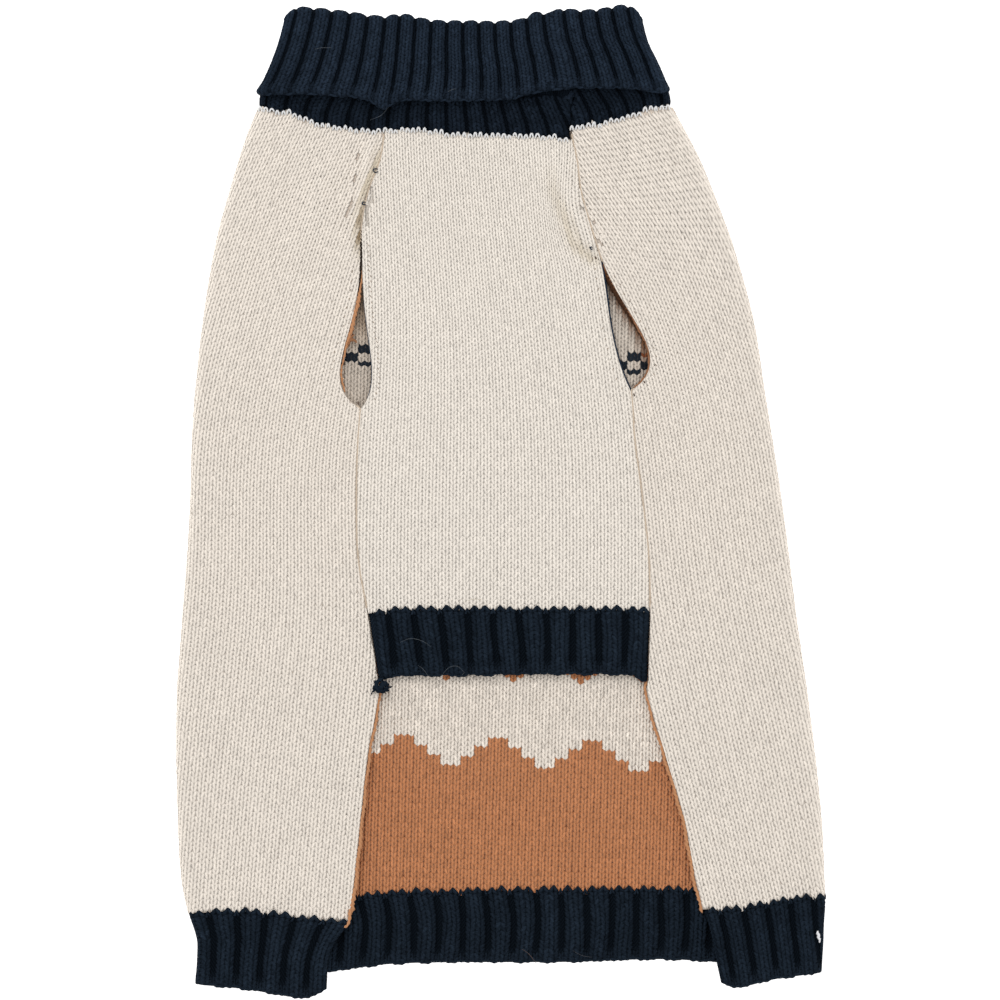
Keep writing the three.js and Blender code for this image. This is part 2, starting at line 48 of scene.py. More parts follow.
MM = 0.001
WALL = 2.2  # thickness of the knitted cloth
LAYER_GAP = 0.4  # clearance between a layer and the one that it lies on
SEAM_GAP = 0.3
TWO_LAYERS = 2 * WALL + LAYER_GAP
FRONT_TOP = TWO_LAYERS  # top face of the flaps and the belly
FOLD_TOP = 6.8  # top face where the cloth folds over at the sides
FOLD_RADIUS = FOLD_TOP / 2
FOLD_SOFTNESS = 28.0  # how far in from a side the fold has settled
NECK_HOLLOW = 1.2
COLLAR_TOP = 2 * TWO_LAYERS + NECK_HOLLOW
GROUND = 0.08  # how far the wall lies under the faces that carry stitches
RIB_GROUND = 0.18  # the same under ribs
FLOOR_INSET = 0.02  # how far the wall lies inside its face on the floor
RIB_RISE = 1.35  # how far a rib stands over the cloth between the ribs

# Colours, as linear red, green and blue

CREAM = (0.87, 0.79, 0.70)
OAT = (0.88, 0.81, 0.725)
CAMEL = (0.560, 0.235, 0.106)
CAMEL_EDGE = (0.60, 0.29, 0.14)
CAMEL_SHADE = (0.34, 0.16, 0.08)
NAVY = (0.0146, 0.0232, 0.0380)
BAND_NAVY = (0.0112, 0.0178, 0.0280)
# Painted highlight: the loop heads at the neck are whiter than the cream, where their fuzz catches the light
LOOP_HIGHLIGHT = (0.87, 0.87, 0.87)
SEAM_TAN = (0.70, 0.57, 0.44)
SHADED_UNDER_CREAM = (0.78, 0.67, 0.57)  # cloth seen between the stitches, darkened as painted shade in the gaps between them
SHADED_UNDER_OAT = (0.78, 0.71, 0.63)
MARK_BROWN = (0.13, 0.09, 0.07)
# Painted shade in the small slanted holes beside the leg openings
HOLE_SHADE_BROWN = (0.36, 0.29, 0.23)
FIBRE = (0.12, 0.135, 0.15)

rng = np.random.default_rng(11)


def table(names, *rows):
    """Table with named columns, its rows sorted by the first column."""
    values = np.array(sorted(rows), dtype=float)
    return dict(zip(names.split(), values.T))


# Outline of the body: the outermost line at each side, and the lines where a flap meets the belly piece,
# which below the belly piece are the flaps' free edges.

BODY = table(
    "y left_fold left_seam right_seam right_fold",
    (182, -111.5, -53.8, 32.2, 78.6),
    (170, -116.4, -53.8, 32.4, 85.1),
    (157, -120.8, -55.7, 35.0, 91.8),
    (143, -124.9, -61.0, 36.8, 97.5),
    (127, -129.5, -64.2, 41.2, 103.7),
    (111, -132.9, -64.2, 46.0, 109.0),
    (83, -137.3, -64.2, 52.2, 116.4),
    (51, -140.8, -64.2, 59.8, 121.4),
    (28, -142.4, -65.8, 61.6, 125.1),
    (0, -143.1, -66.5, 65.3, 129.3),
    (-27, -144.7, -65.6, 68.1, 132.9),
    (-52, -146.7, -61.2, 68.5, 135.9),
    (-81, -148.8, -56.6, 67.6, 140.1),
    (-89, -149.3, -56.1, 67.2, 141.2),
    (-117, -149.5, -61.0, 75.4, 144.7),
    (-147, -148.8, -64.4, 84.2, 147.7),
    (-174, -147.2, -67.2, 89.2, 149.0),
    (-191, -143.8, -69.4, 93.4, 149.5),
)

# Leg openings: teardrops left open in the seams

LEG_OPENINGS = {
    "left": dict(top=127, bottom=43, flap_cut=9.9, belly_cut=4.6, grow=3.6, close=0.8),
    "right": dict(top=118, bottom=51, flap_cut=12.2, belly_cut=2.6, grow=2.4, close=0.9),
}

# Neck seam of the two flaps, the belly piece and the layer below them

NECK_LEFT = table(
    "x y", (-112, 180.6), (-104, 178.9), (-96.5, 177.9), (-89.7, 175.3), (-83, 173.0), (-71.8, 171.2),
    (-63, 170.2), (-53, 169.8),
)
NECK_BELLY = table(
    "x y", (-55, 170.2), (-37, 170.6), (-30, 169.7), (-25.5, 168.7), (0, 167.9), (20, 167.4), (28, 166.5),
    (34, 165.6),
)
NECK_RIGHT = table(
    "x y", (31, 171.0), (38, 172.3), (44.6, 172.9), (50, 174.5), (61, 177.4), (68, 180.2), (73, 180.8),
    (79, 180.2),
)
NECK_BACK = table("x y", (-112, 181.0), (-60, 175.5), (-17, 173.5), (30, 176.0), (79, 182.0))

# Hem seam between the back panel and its ribbed band, and the band's lower edge

HEM_SEAM = {
    "left": table("x y", (-144, -189.6), (-117, -188.8), (-87, -192.4), (-68, -194.0)),
    "right": table("x y", (92, -187.8), (106, -187.8), (132, -183.2), (150, -181.8)),
    "back": table("x y", (-144, -189.6), (-66, -181.8), (-37, -179.9), (89, -179.0), (150, -181.8)),
}
HEM_EDGE = {
    "left": table("x y", (-141, -222.2), (-117, -224.6), (-97, -228.0), (-89, -228.5), (-80, -224.4)),
    "right": table("x y", (101, -221.4), (108, -223.8), (126, -219.9), (147, -217.0)),
    "back": table(
        "x y", (-141, -222.2), (-79, -216.7), (-47, -213.0), (31, -212.3), (81, -211.2), (147, -217.0)
    ),
}
HEM_BAND = table(
    "down left_fold left_seam right_seam right_fold",
    (0.0, -143.6, -69.8, 93.6, 149.5),
    (0.35, -140.0, -76.8, 96.8, 148.5),
    (0.6, -139.8, -79.4, 98.4, 148.2),
    (1.0, -140.6, -80.2, 101.2, 147.4),
)
BELLY_BAND_TOP = -50.2
BELLY_BAND_BOTTOM = -80.4

# Collar: its sides, and its fold line and turned edge by the share of its width from left to right

COLLAR_SIDES = table(
    "down left right", (0.0, -100.6, 65.6), (0.3, -103.4, 68.4), (0.54, -106.4, 72.4), (0.78, -110.0, 75.8),
    (0.94, -112.8, 77.8), (1.0, -112.4, 77.6),
)
COLLAR_FOLD = table(
    "across y", (0.0, 227.3), (0.045, 227.0), (0.10, 226.1), (0.156, 225.2), (0.208, 223.8), (0.263, 223.1),
    (0.321, 224.0), (0.38, 222.0), (0.43, 221.1), (0.53, 220.9), (0.60, 220.7), (0.674, 221.8), (0.72, 224.9),
    (0.757, 224.6), (0.793, 226.4), (0.843, 226.0), (0.883, 226.0), (0.926, 226.7), (0.972, 228.1),
    (1.0, 228.0),
)
COLLAR_EDGE = table(
    "across y", (0.0, 186.2), (0.10, 186.5), (0.18, 185.4), (0.245, 184.2), (0.266, 182.2), (0.289, 179.6),
    (0.316, 181.6), (0.34, 183.6), (0.45, 183.4), (0.62, 184.2), (0.66, 186.0), (0.70, 187.6), (0.78, 189.2),
    (0.86, 189.3), (0.94, 189.0), (1.0, 187.2),
)
STANDING_SLOPE = 0.5
STANDING_IN = 1.1  # how far the collar draws the body in at the neck seam

# Soft creases of the top layer: a ridge from one place to another, its rise and its half width

CREASES = table(
    "x y to_x to_y rise reach",
    (-61, 162, -68, 121, 3.0, 3.4),
    (-80, 160, -90, 118, 1.2, 6.5),
    (27, 160, 32, 134, 1.8, 5.0),
    (32, 136, 43, 115, 2.8, 4.0),
    (62, 160, 84, 118, 0.9, 7),
    (-60, -95, -66, -180, 0.8, 5),
    (74, -100, 90, -176, 0.8, 5),
    (-73, 86, -76, 52, 0.9, 4),
    (71, 82, 78, 52, 0.9, 4),
)
CREASE_FADE = 0.5
CLIMB_START = -160
CLIMB_LENGTH = 26

# Knit: how far the wales lean sideways for each millimetre up, and the spacing of wales and courses

LEAN_LEFT = table(
    "y lean", (-190, 0.07), (-151, 0.09), (-80, 0.10), (-9, 0.0), (65, 0.25), (122, 0.364), (182, 0.5)
)
LEAN_RIGHT = table(
    "y lean", (-190, -0.22), (-147, -0.229), (-71, -0.224), (7, -0.14), (88, -0.41), (143, -0.75),
    (182, -0.85),
)
LEAN_BELLY = table("y lean", (-85, 0.0), (10, 0.0), (60, -0.05), (100, -0.10), (182, -0.06))
LEAN_INSIDE = table("y lean", (-190, 0.03), (182, 0.03))
COURSES = table("y pitch", (-190, 2.3), (-150, 2.28), (-80, 2.13), (-10, 2.04), (60, 1.98), (182, 2.0))
WALES_LEFT = table("y pitch", (-190, 3.28), (-80, 3.34), (-9, 3.14), (65, 3.12), (182, 3.0))
WALES_RIGHT = table("y pitch", (-190, 3.18), (-71, 3.39), (7, 3.14), (88, 3.12), (143, 3.62), (182, 3.7))
WALES_BELLY = table("y pitch", (-85, 3.16), (10, 3.14), (100, 2.76), (182, 2.6))
WALES_INSIDE = table("y pitch", (-190, 3.1), (182, 3.1))

# Ribs of the bands and the collar

COLLAR_RIBS = 20
COLLAR_SPREAD = table(
    "rib share", (0, 0), (5, 0.268), (6, 0.312), (14, 0.695), (15, 0.746), (16, 0.807), (20, 1.0)
)
RIB_RANGES = dict(belly=(0.17, 10.83), back=(0.44, 25.14), left=(0.0, 5.30), right=(0.25, 4.62))
# How far a band's stitches run round its side fold, in ribs
ROUND_RIBS = dict(belly=0.0, back=0.0, left=0.5, right=0.5)
# How many more ribs reach a flap's fold at the seam than at the free edge
RIB_LEAN = dict(left=0.0, right=0.5)
RIB_COURSE = 1.95
FOLD_RIBS = 0.9  # ribs round the half circle of a side fold of the hem band


# Curves and lines


def ease(share):
    """Smooth step: three times the square less twice the cube of a share held between 0 and 1."""
    held = np.clip(share, 0, 1)
    return held * held * (3 - 2 * held)


def lerp(start, end, share):
    """Value a share of the way from start to end."""
    return start + (end - start) * share


def curve(rows, key, column, at):
    """Column of a table at places on its key: cubic pieces whose slopes at a row are those between the rows
    before and after it, so the curve is smooth through every row."""
    keys = rows[key]
    values = rows[column]
    slopes = np.empty_like(values)
    slopes[1:-1] = (values[2:] - values[:-2]) / (keys[2:] - keys[:-2])
    slopes[0] = (values[1] - values[0]) / (keys[1] - keys[0])
    slopes[-1] = (values[-1] - values[-2]) / (keys[-1] - keys[-2])
    held = np.clip(at, keys[0], keys[-1])
    i = np.clip(np.searchsorted(keys, held, side="right") - 1, 0, len(keys) - 2)
    span = keys[i + 1] - keys[i]
    t = (held - keys[i]) / span
    rise = (2 * t**3 - 3 * t**2 + 1) * values[i] + (t**3 - 2 * t**2 + t) * slopes[i] * span
    return rise + (3 * t**2 - 2 * t**3) * values[i + 1] + (t**3 - t**2) * slopes[i + 1] * span


def opening_share(opening, y):
    """Share of a leg opening's width at a place along the seam: t to the power grow, times 1 - t to the
    power close, over its own largest value."""
    t = np.clip((opening["top"] - y) / (opening["top"] - opening["bottom"]), 0, 1)
    peak = opening["grow"] / (opening["grow"] + opening["close"])
    drop = t ** opening["grow"] * (1 - t) ** opening["close"]
    return drop / (peak ** opening["grow"] * (1 - peak) ** opening["close"])


def body_lines(y):
    """Fold lines, flap edges and belly edges at places along the body."""
    left = LEG_OPENINGS["left"]
    right = LEG_OPENINGS["right"]
    left_seam = curve(BODY, "y", "left_seam", y)
    right_seam = curve(BODY, "y", "right_seam", y)
    half = SEAM_GAP / 2
    return dict(
        left_fold=curve(BODY, "y", "left_fold", y),
        right_fold=curve(BODY, "y", "right_fold", y),
        left_flap=left_seam - half - left["flap_cut"] * opening_share(left, y),
        right_flap=right_seam + half + right["flap_cut"] * opening_share(right, y),
        belly_left=left_seam + half + left["belly_cut"] * opening_share(left, y),
        belly_right=right_seam - half - right["belly_cut"] * opening_share(right, y),
    )


def band_lines(down):
    """Fold lines and flap edges of the hem band at shares of its depth."""
    return dict(
        left_fold=curve(HEM_BAND, "down", "left_fold", down),
        right_fold=curve(HEM_BAND, "down", "right_fold", down),
        left_flap=curve(HEM_BAND, "down", "left_seam", down),
        right_flap=curve(HEM_BAND, "down", "right_seam", down),
    )


def crease_rise(x, y):
    """Sum of the creases: each is a bell across its line, faded in and out along it."""
    rise = np.zeros(np.broadcast(x, y).shape)
    for start_x, start_y, to_x, to_y, height, reach in zip(*CREASES.values()):
        run_x = to_x - start_x
        run_y = to_y - start_y
        length = math.hypot(run_x, run_y)
        t = ((x - start_x) * run_x + (y - start_y) * run_y) / length**2
        off = ((x - start_x) * run_y - (y - start_y) * run_x) / length
        taper = ease(t / CREASE_FADE + 0.5) * ease((1 - t) / CREASE_FADE + 0.5)
        rise = rise + height * taper * np.exp(-((off / reach) ** 2))
    return rise


def front_height(lines, x, y):
    """Top face of the flaps and belly: low in the middle, higher at the folds and over the hem band's
    ribs, and lifted by the creases."""
    in_from_side = np.minimum(x - lines["left_fold"], lines["right_fold"] - x) - FOLD_RADIUS
    settled = ease(in_from_side / FOLD_SOFTNESS)
    over_ribs = RIB_RISE * ease((CLIMB_START - y) / CLIMB_LENGTH) * settled
    return lerp(FOLD_TOP, FRONT_TOP, settled) + over_ribs + crease_rise(x, y) * settled


def over_fold(lines, x, y, lift):
    """Point of the top layer's outer face: flat between the folds, and past a fold's tangent line wound
    round its half circle by the length left over. Lift is the distance out of the face."""
    left_turn = lines["left_fold"] + FOLD_RADIUS
    right_turn = lines["right_fold"] - FOLD_RADIUS
    past = np.maximum(left_turn - x, 0) - np.maximum(x - right_turn, 0)
    angle = np.clip(past / FOLD_RADIUS, -math.pi, math.pi)
    flat_x = np.clip(x, left_turn, right_turn)
    top = front_height(lines, flat_x, y)
    radius = FOLD_RADIUS + lift
    round_x = flat_x - radius * np.sin(angle)
    round_z = FOLD_RADIUS + radius * np.cos(angle)
    return np.stack([round_x, y + 0 * x, np.where(past == 0, top + lift, round_z)], axis=-1)


# Meshes


def mesh_piece(name, points, quads, triangles=None, maps=(), paint=None, material=None, soft=None):
    """Mesh object from points in millimetres, four-sided and three-sided faces as rows of point numbers,
    maps as pairs of a name and a place for each corner, a colour for each point, and which faces are shaded
    soft, which is all of them where none are named."""
    triangles = np.empty((0, 3), int) if triangles is None else triangles
    corners = np.concatenate([quads.ravel(), triangles.ravel()]).astype(np.int32)
    starts = np.concatenate([np.arange(len(quads)) * 4, len(quads) * 4 + np.arange(len(triangles)) * 3])
    mesh = bpy.data.meshes.new(name)
    mesh.vertices.add(len(points))
    mesh.vertices.foreach_set("co", (points * MM).astype(np.float32).ravel())
    mesh.loops.add(len(corners))
    mesh.loops.foreach_set("vertex_index", corners)
    mesh.polygons.add(len(starts))
    mesh.polygons.foreach_set("loop_start", starts.astype(np.int32))
    mesh.update(calc_edges=True)
    mesh.polygons.foreach_set("use_smooth", np.ones(len(starts), bool) if soft is None else soft)
    for map_name, places in maps:
        layer = mesh.uv_layers.new(name=map_name)
        layer.data.foreach_set("uv", places.astype(np.float32).ravel())
    if paint is not None:
        layer = mesh.color_attributes.new("paint", "FLOAT_COLOR", "POINT")
        rgba = np.concatenate([paint, np.ones((len(paint), 1))], axis=1)
        layer.data.foreach_set("color", rgba.astype(np.float32).ravel())
    mesh.validate()
    piece = bpy.data.objects.new(name, mesh)
    bpy.context.scene.collection.objects.link(piece)
    mesh.materials.append(material)
    return piece


def grid_quads(rows, columns, start=0, flip=False):
    """Four-sided faces of a grid of points numbered row by row from start."""
    r, c = np.meshgrid(np.arange(rows - 1), np.arange(columns - 1), indexing="ij")
    at = start + r * columns + c
    quads = np.stack([at, at + 1, at + columns + 1, at + columns], axis=-1).reshape(-1, 4)
    return quads[:, ::-1] if flip else quads


def outward(points, quads):
    """The same faces turned so that the volume that they close is positive."""
    a, b, c, d = (points[quads[:, i]] for i in range(4))
    volume = np.einsum("ij,ij->", a, np.cross(b, c)) + np.einsum("ij,ij->", a, np.cross(c, d))
    return quads if volume > 0 else quads[:, ::-1]


def wall_piece(name, outer, inner, knit, paint, material):
    """Closed wall between two grids of points. knit is each grid point's place in wales and courses, and
    paint its colour, for the outer and then the inner grid."""
    rows, columns = outer.shape[:2]
    half = rows * columns
    points = np.concatenate([outer.reshape(-1, 3), inner.reshape(-1, 3)])
    r = np.arange(rows - 1)
    c = np.arange(columns - 1)
    first = r * columns
    last = first + columns - 1
    top = c
    bottom = (rows - 1) * columns + c
    quads = np.concatenate([
        grid_quads(rows, columns),
        grid_quads(rows, columns, half, flip=True),
        np.stack([first, first + columns, first + columns + half, first + half], axis=-1),
        np.stack([last, last + half, last + columns + half, last + columns], axis=-1),
        np.stack([top, top + half, top + 1 + half, top + 1], axis=-1),
        np.stack([bottom, bottom + 1, bottom + 1 + half, bottom + half], axis=-1),
    ])
    quads = outward(points, quads)
    places = np.concatenate([grid.reshape(-1, 2) for grid in knit])
    colours = np.concatenate([grid.reshape(-1, 3) for grid in paint])
    maps = [("knit", places[quads].reshape(-1, 2))]
    return mesh_piece(name, points, quads, maps=maps, paint=colours, material=material)


# Stitches

LEG_STEPS = 4
LEG_SIDES = 3
LEG_OUT = np.array([0.10, 0.19, 0.30, 0.36])  # how far a leg lies from its wale's middle, in wales
LEG_DOWN = np.array([0.88, 0.36, -0.20, -0.64])  # how far it lies below the stitch's middle, in courses
LEG_LIFT = np.array([0.02, 0.15, 0.17, 0.05])  # height of its crest over the cloth's face
LEG_HALF = np.array([0.16, 0.245, 0.275, 0.22])  # its half width, in wales
LEG_THICK = 0.09  # how far its sides lie below its crest
LEG_SHADE = np.array([[0.96], [1.0], [1.0], [0.93]])  # share of its colour left where the strand dips
PLAIN_SHADE = np.array([  # the same in plain knit, at a strand's inner side, crest and outer side
    [0.97, 0.99, 0.99], [0.99, 1.0, 0.99], [1.0, 1.0, 0.97], [1.0, 0.98, 0.84]
])
PLAIN_LIFT = np.array([0.04, 0.11, 0.115, 0.045])  # height of a strand's crest in plain knit
PLAIN_HALF = np.array([0.20, 0.27, 0.285, 0.22])
PLAIN_THICK = 0.055
FLAT_LEG = 0.12  # a leg pressed flat against an edge closes less than this, in sixths of a cubic millimetre
PEAK_OUT = np.array([0.02, 0.12, 0.25, 0.36])  # the same for the points of a band's first course
PEAK_HALF = np.array([0.05, 0.16, 0.25, 0.24])

# How far strands stray from their places: across and along the knit, in width, and in height
STRAY_ACROSS = 0.018
STRAY_ALONG = 0.05
STRAY_WIDTH = 0.06
STRAY_HEIGHT = 0.035
PLAIN_STRAY_HEIGHT = 0.016

# A leg's faces: the ring and corner where each four-sided face starts, and its two end triangles
LEG_RING = np.repeat(np.arange(LEG_STEPS - 1), LEG_SIDES)
LEG_CORNER = np.tile(np.arange(LEG_SIDES), LEG_STEPS - 1)
LEG_NEXT = (LEG_CORNER + 1) % LEG_SIDES
LEG_QUADS = np.stack([
    LEG_RING * LEG_SIDES + LEG_CORNER,
    LEG_RING * LEG_SIDES + LEG_NEXT,
    (LEG_RING + 1) * LEG_SIDES + LEG_NEXT,
    (LEG_RING + 1) * LEG_SIDES + LEG_CORNER,
], -1)
LEG_TIP = (LEG_STEPS - 1) * LEG_SIDES
LEG_ENDS = np.array([[2, 1, 0], [LEG_TIP, LEG_TIP + 1, LEG_TIP + 2]])

# Places of a leg's end triangles in its cell of the bake map
LEG_END_PLACES = np.array([
    [[0.05, 0.90], [0.30, 0.90], [0.15, 0.99]],
    [[0.55, 0.90], [0.80, 0.90], [0.65, 0.99]],
])


def leg_volumes(legs):
    """Six times the volume that each leg's faces close, from its points measured from its own middle: the
    sum, over its triangles, of one corner dotted with the cross product of the other two."""
    local = legs - legs.mean(axis=1, keepdims=True)
    a, b, c, d = (local[:, LEG_QUADS[:, i]] for i in range(4))
    e, f, g = (local[:, LEG_ENDS[:, i]] for i in range(3))
    return sum(np.einsum("nij,nij->n", u, np.cross(v, w)) for u, v, w in ((a, b, c), (a, c, d), (e, f, g)))


def leg_faces(count):
    """Faces and bake map of so many legs: each is a three-sided strand with a closed end at both ends, and
    each has a small cell of its own in a square map."""
    step = 1 / LEG_SIDES
    rise = 0.86 / (LEG_STEPS - 1)
    quad_uv = np.stack([
        np.stack([(LEG_CORNER + right) * step, (LEG_RING + up) * rise], -1)
        for right, up in ((0, 0), (1, 0), (1, 1), (0, 1))
    ], axis=1)
    side = math.ceil(math.sqrt(count))
    cell = np.stack([np.arange(count) % side, np.arange(count) // side], -1) / side
    start = np.arange(count) * LEG_STEPS * LEG_SIDES
    quads = (start[:, None, None] + LEG_QUADS).reshape(-1, 4)
    triangles = (start[:, None, None] + LEG_ENDS).reshape(-1, 3)
    spread = 0.94 / side
    quad_places = (cell[:, None, None, :] + quad_uv * spread).reshape(-1, 2)
    end_places = (cell[:, None, None, :] + LEG_END_PLACES * spread).reshape(-1, 2)
    return quads, triangles, np.concatenate([quad_places, end_places])


def stitch_piece(name, wale, course, surface, colour, material, flip=False, fuzz=0.03, out=LEG_OUT,
                 half_width=LEG_HALF, depth=None):
    """Stitches as two slanting strands each, at places in wales and courses. Surface gives the point for a
    wale, a course and a lift. Each strand's four rings run from the stitch's foot, at the middle of its
    wale, out and up to its shoulder, and each ring has a left, a top and a right point. Depth is given for
    plain knit, as three powers for each stitch: its strands keep their undersides' edges, and each part of
    their colour is shaded by the plain table to its own power."""
    count = len(wale)
    side = np.array([-1.0, 1.0])[None, :, None]
    shift = rng.normal(0, STRAY_ACROSS, (count, 2, 1))
    slip = rng.normal(0, STRAY_ALONG, (count, 1, 1))
    swell = 1 + rng.normal(0, STRAY_WIDTH, (count, 2, 1))
    bob = rng.normal(0, STRAY_HEIGHT if depth is None else PLAIN_STRAY_HEIGHT, (count, 2, 1))
    upright = -1.0 if flip else 1.0
    u = wale[:, None, None] + side * (out + shift)
    v = course[:, None, None] + upright * (LEG_DOWN + slip) + 0 * u
    half = (half_width if depth is None else PLAIN_HALF) * swell * np.ones_like(u)
    thick = LEG_THICK if depth is None else PLAIN_THICK
    lift = (LEG_LIFT if depth is None else PLAIN_LIFT) + bob + 0 * u
    ring_u = np.stack([u - half, u, u + half], axis=-1)
    ring_v = np.stack([v, v, v], axis=-1)
    ring_lift = np.stack([lift - thick, lift, lift - thick], axis=-1)
    shade = LEG_SHADE if depth is None else np.stack([PLAIN_SHADE[:, ::-1], PLAIN_SHADE])
    shade = np.broadcast_to(shade, ring_u.shape)[..., None]
    shade = shade ** (1.0 if depth is None else depth[:, None, None, None, :])
    shade = shade * (1 + rng.normal(0, fuzz, (count, 2, 1, 1, 1)))
    colour = np.broadcast_to(colour.reshape(count, -1, 3), (count, 2, 3)).reshape(-1, 3)
    points = surface(ring_u.reshape(-1), ring_v.reshape(-1), ring_lift.reshape(-1))
    legs = points.reshape(-1, LEG_STEPS * LEG_SIDES, 3)
    volumes = leg_volumes(legs)
    inward = volumes.sum() < 0
    kept = (-volumes if inward else volumes) > FLAT_LEG
    points = legs[kept].reshape(-1, 3)
    quads, triangles, places = leg_faces(int(kept.sum()))
    if inward:
        corners = len(quads) * 4
        quads = quads[:, ::-1]
        triangles = triangles[:, ::-1]
        places = np.concatenate([
            places[:corners].reshape(-1, 4, 2)[:, ::-1].reshape(-1, 2),
            places[corners:].reshape(-1, 3, 2)[:, ::-1].reshape(-1, 2),
        ])
    tint = (colour.reshape(count, 2, 1, 1, 3) * shade).reshape(-1, LEG_STEPS * LEG_SIDES, 3)[kept]
    maps = [("OFBake", places)]
    soft = None
    if depth is not None:
        soft = np.concatenate([np.arange(len(quads)) % LEG_SIDES != 2, np.zeros(len(triangles), bool)])
    return mesh_piece(name, points, quads, triangles, maps, tint.reshape(-1, 3), material, soft)


FLAT_REPEATS = 10


class Knit:
    """Wales and courses laid over a flat stretch of cloth. A wale's middle line leans by the lean table's
    rise added up along the length, wales are a pitch apart, and courses run across at right angles."""

    def __init__(self, lean, wales, middle, top=184.0, bottom=-200.0, courses=COURSES):
        self.y = np.linspace(bottom, top, 800)
        step = self.y[1] - self.y[0]
        self.lean = curve(lean, "y", "lean", self.y)
        self.line = middle + np.cumsum(self.lean) * step
        self.line -= np.interp(0, self.y, self.line) - middle
        self.pitch = curve(wales, "y", "pitch", self.y)
        rate = 1 / (curve(courses, "y", "pitch", self.y) * np.sqrt(1 + self.lean**2))
        self.course = (np.cumsum(rate[::-1]) * step)[::-1]

    def flat(self, wale, course):
        """Place on the flat cloth, found by repeats: x is the wale's line at y, and y is the course's own
        place less the lean times the distance from the middle line."""
        start = np.interp(course, self.course[::-1], self.y[::-1])
        y = start
        for _ in range(FLAT_REPEATS):
            across = wale * np.interp(y, self.y, self.pitch)
            y = lerp(y, start - np.interp(y, self.y, self.lean) * across, 0.5)
        x = np.interp(y, self.y, self.line) + wale * np.interp(y, self.y, self.pitch)
        return x, y


def lattice(wales, courses):
    """Every whole wale and course in two ranges, as flat arrays."""
    wale, course = np.meshgrid(np.arange(*wales), np.arange(*courses), indexing="ij")
    return wale.ravel().astype(float), course.ravel().astype(float)


# Materials


def link(tree, start, end):
    """Joins an output socket to an input socket."""
    tree.links.new(start, end)


def shader(name, roughness, sheen, sheen_roughness, specular):
    """New material with one plain shader, as its tree and its shader node."""
    material = bpy.data.materials.new(name)
    material.use_nodes = True
    tree = material.node_tree
    surface = tree.nodes["Principled BSDF"]
    surface.inputs["Roughness"].default_value = roughness
    surface.inputs["Sheen Weight"].default_value = sheen
    surface.inputs["Sheen Roughness"].default_value = sheen_roughness
    surface.inputs["Specular IOR Level"].default_value = specular
    return material, tree, surface


def noise(tree, scale, detail):
    """Noise over the object's own coordinates."""
    place = tree.nodes.new("ShaderNodeTexCoord")
    node = tree.nodes.new("ShaderNodeTexNoise")
    node.inputs["Scale"].default_value = scale
    node.inputs["Detail"].default_value = detail
    link(tree, place.outputs["Object"], node.inputs["Vector"])
    return node.outputs["Fac"]


def paint_base(tree, surface, share):
    """Base colour: the painted colour times a share."""
    paint = tree.nodes.new("ShaderNodeAttribute")
    paint.attribute_name = "paint"
    tone = tree.nodes.new("ShaderNodeVectorMath")
    tone.operation = "SCALE"
    link(tree, paint.outputs["Color"], tone.inputs[0])
    link(tree, share, tone.inputs["Scale"])
    link(tree, tone.outputs["Vector"], surface.inputs["Base Color"])


def raise_bump(tree, surface, height, strength, distance):
    """Bump of a strength from a height, over a distance in metres."""
    bump = tree.nodes.new("ShaderNodeBump")
    bump.inputs["Strength"].default_value = strength
    bump.inputs["Distance"].default_value = distance
    link(tree, height, bump.inputs["Height"])
    link(tree, bump.outputs["Normal"], surface.inputs["Normal"])


def yarn_material(name, fleck, sheen, specular, fuzz):
    """Wool strand: the painted colour with soft patches and fine flecks, and a fuzzy bump."""
    material, tree, surface = shader(name, 0.92, sheen, 0.5, specular)
    flecks = noise(tree, 1900.0, 2.0)
    both = tree.nodes.new("ShaderNodeMath")
    both.operation = "MULTIPLY_ADD"
    link(tree, noise(tree, 38.0, 3.0), both.inputs[0])
    both.inputs[1].default_value = 0.35
    link(tree, flecks, both.inputs[2])
    span = tree.nodes.new("ShaderNodeMapRange")
    span.inputs["From Min"].default_value = 0.35
    span.inputs["From Max"].default_value = 1.0
    span.inputs["To Min"].default_value = 1 - fleck
    span.inputs["To Max"].default_value = 1 + fleck
    link(tree, both.outputs["Value"], span.inputs["Value"])
    paint_base(tree, surface, span.outputs["Result"])
    raise_bump(tree, surface, flecks, fuzz, 0.0002)
    return material


def cloth_material(name, dark, sheen, specular, relief):
    """Knit seen as a surface: a herringbone of strands from the knit map, where a strand's phase is the
    course plus the distance from the wale's middle, with painted shade darkening the gaps between the strands."""
    material, tree, surface = shader(name, 0.95, sheen, 0.5, specular)
    nodes = tree.nodes

    def maths(operation, first, second=None):
        node = nodes.new("ShaderNodeMath")
        node.operation = operation
        for socket, value in zip(node.inputs, (first, second)):
            if value is None:
                continue
            if isinstance(value, (int, float)):
                socket.default_value = value
            else:
                link(tree, value, socket)
        return node.outputs["Value"]

    place = nodes.new("ShaderNodeUVMap")
    place.uv_map = "knit"
    split = nodes.new("ShaderNodeSeparateXYZ")
    link(tree, place.outputs["UV"], split.inputs["Vector"])
    from_middle = maths("ABSOLUTE", maths("SUBTRACT", maths("FRACT", split.outputs["X"]), 0.5))
    phase = maths("FRACT", maths("ADD", split.outputs["Y"], maths("MULTIPLY", from_middle, 3.0)))
    strand = maths("SINE", maths("MULTIPLY", phase, math.pi))
    gap = maths("SINE", maths("MULTIPLY", from_middle, 2 * math.pi))
    height = maths("MULTIPLY", strand, maths("ADD", maths("MULTIPLY", gap, 0.6), 0.4))
    shade = maths("ADD", maths("MULTIPLY", height, 1 - dark), dark)
    paint_base(tree, surface, shade)
    raise_bump(tree, surface, height, relief, 0.0006)
    return material


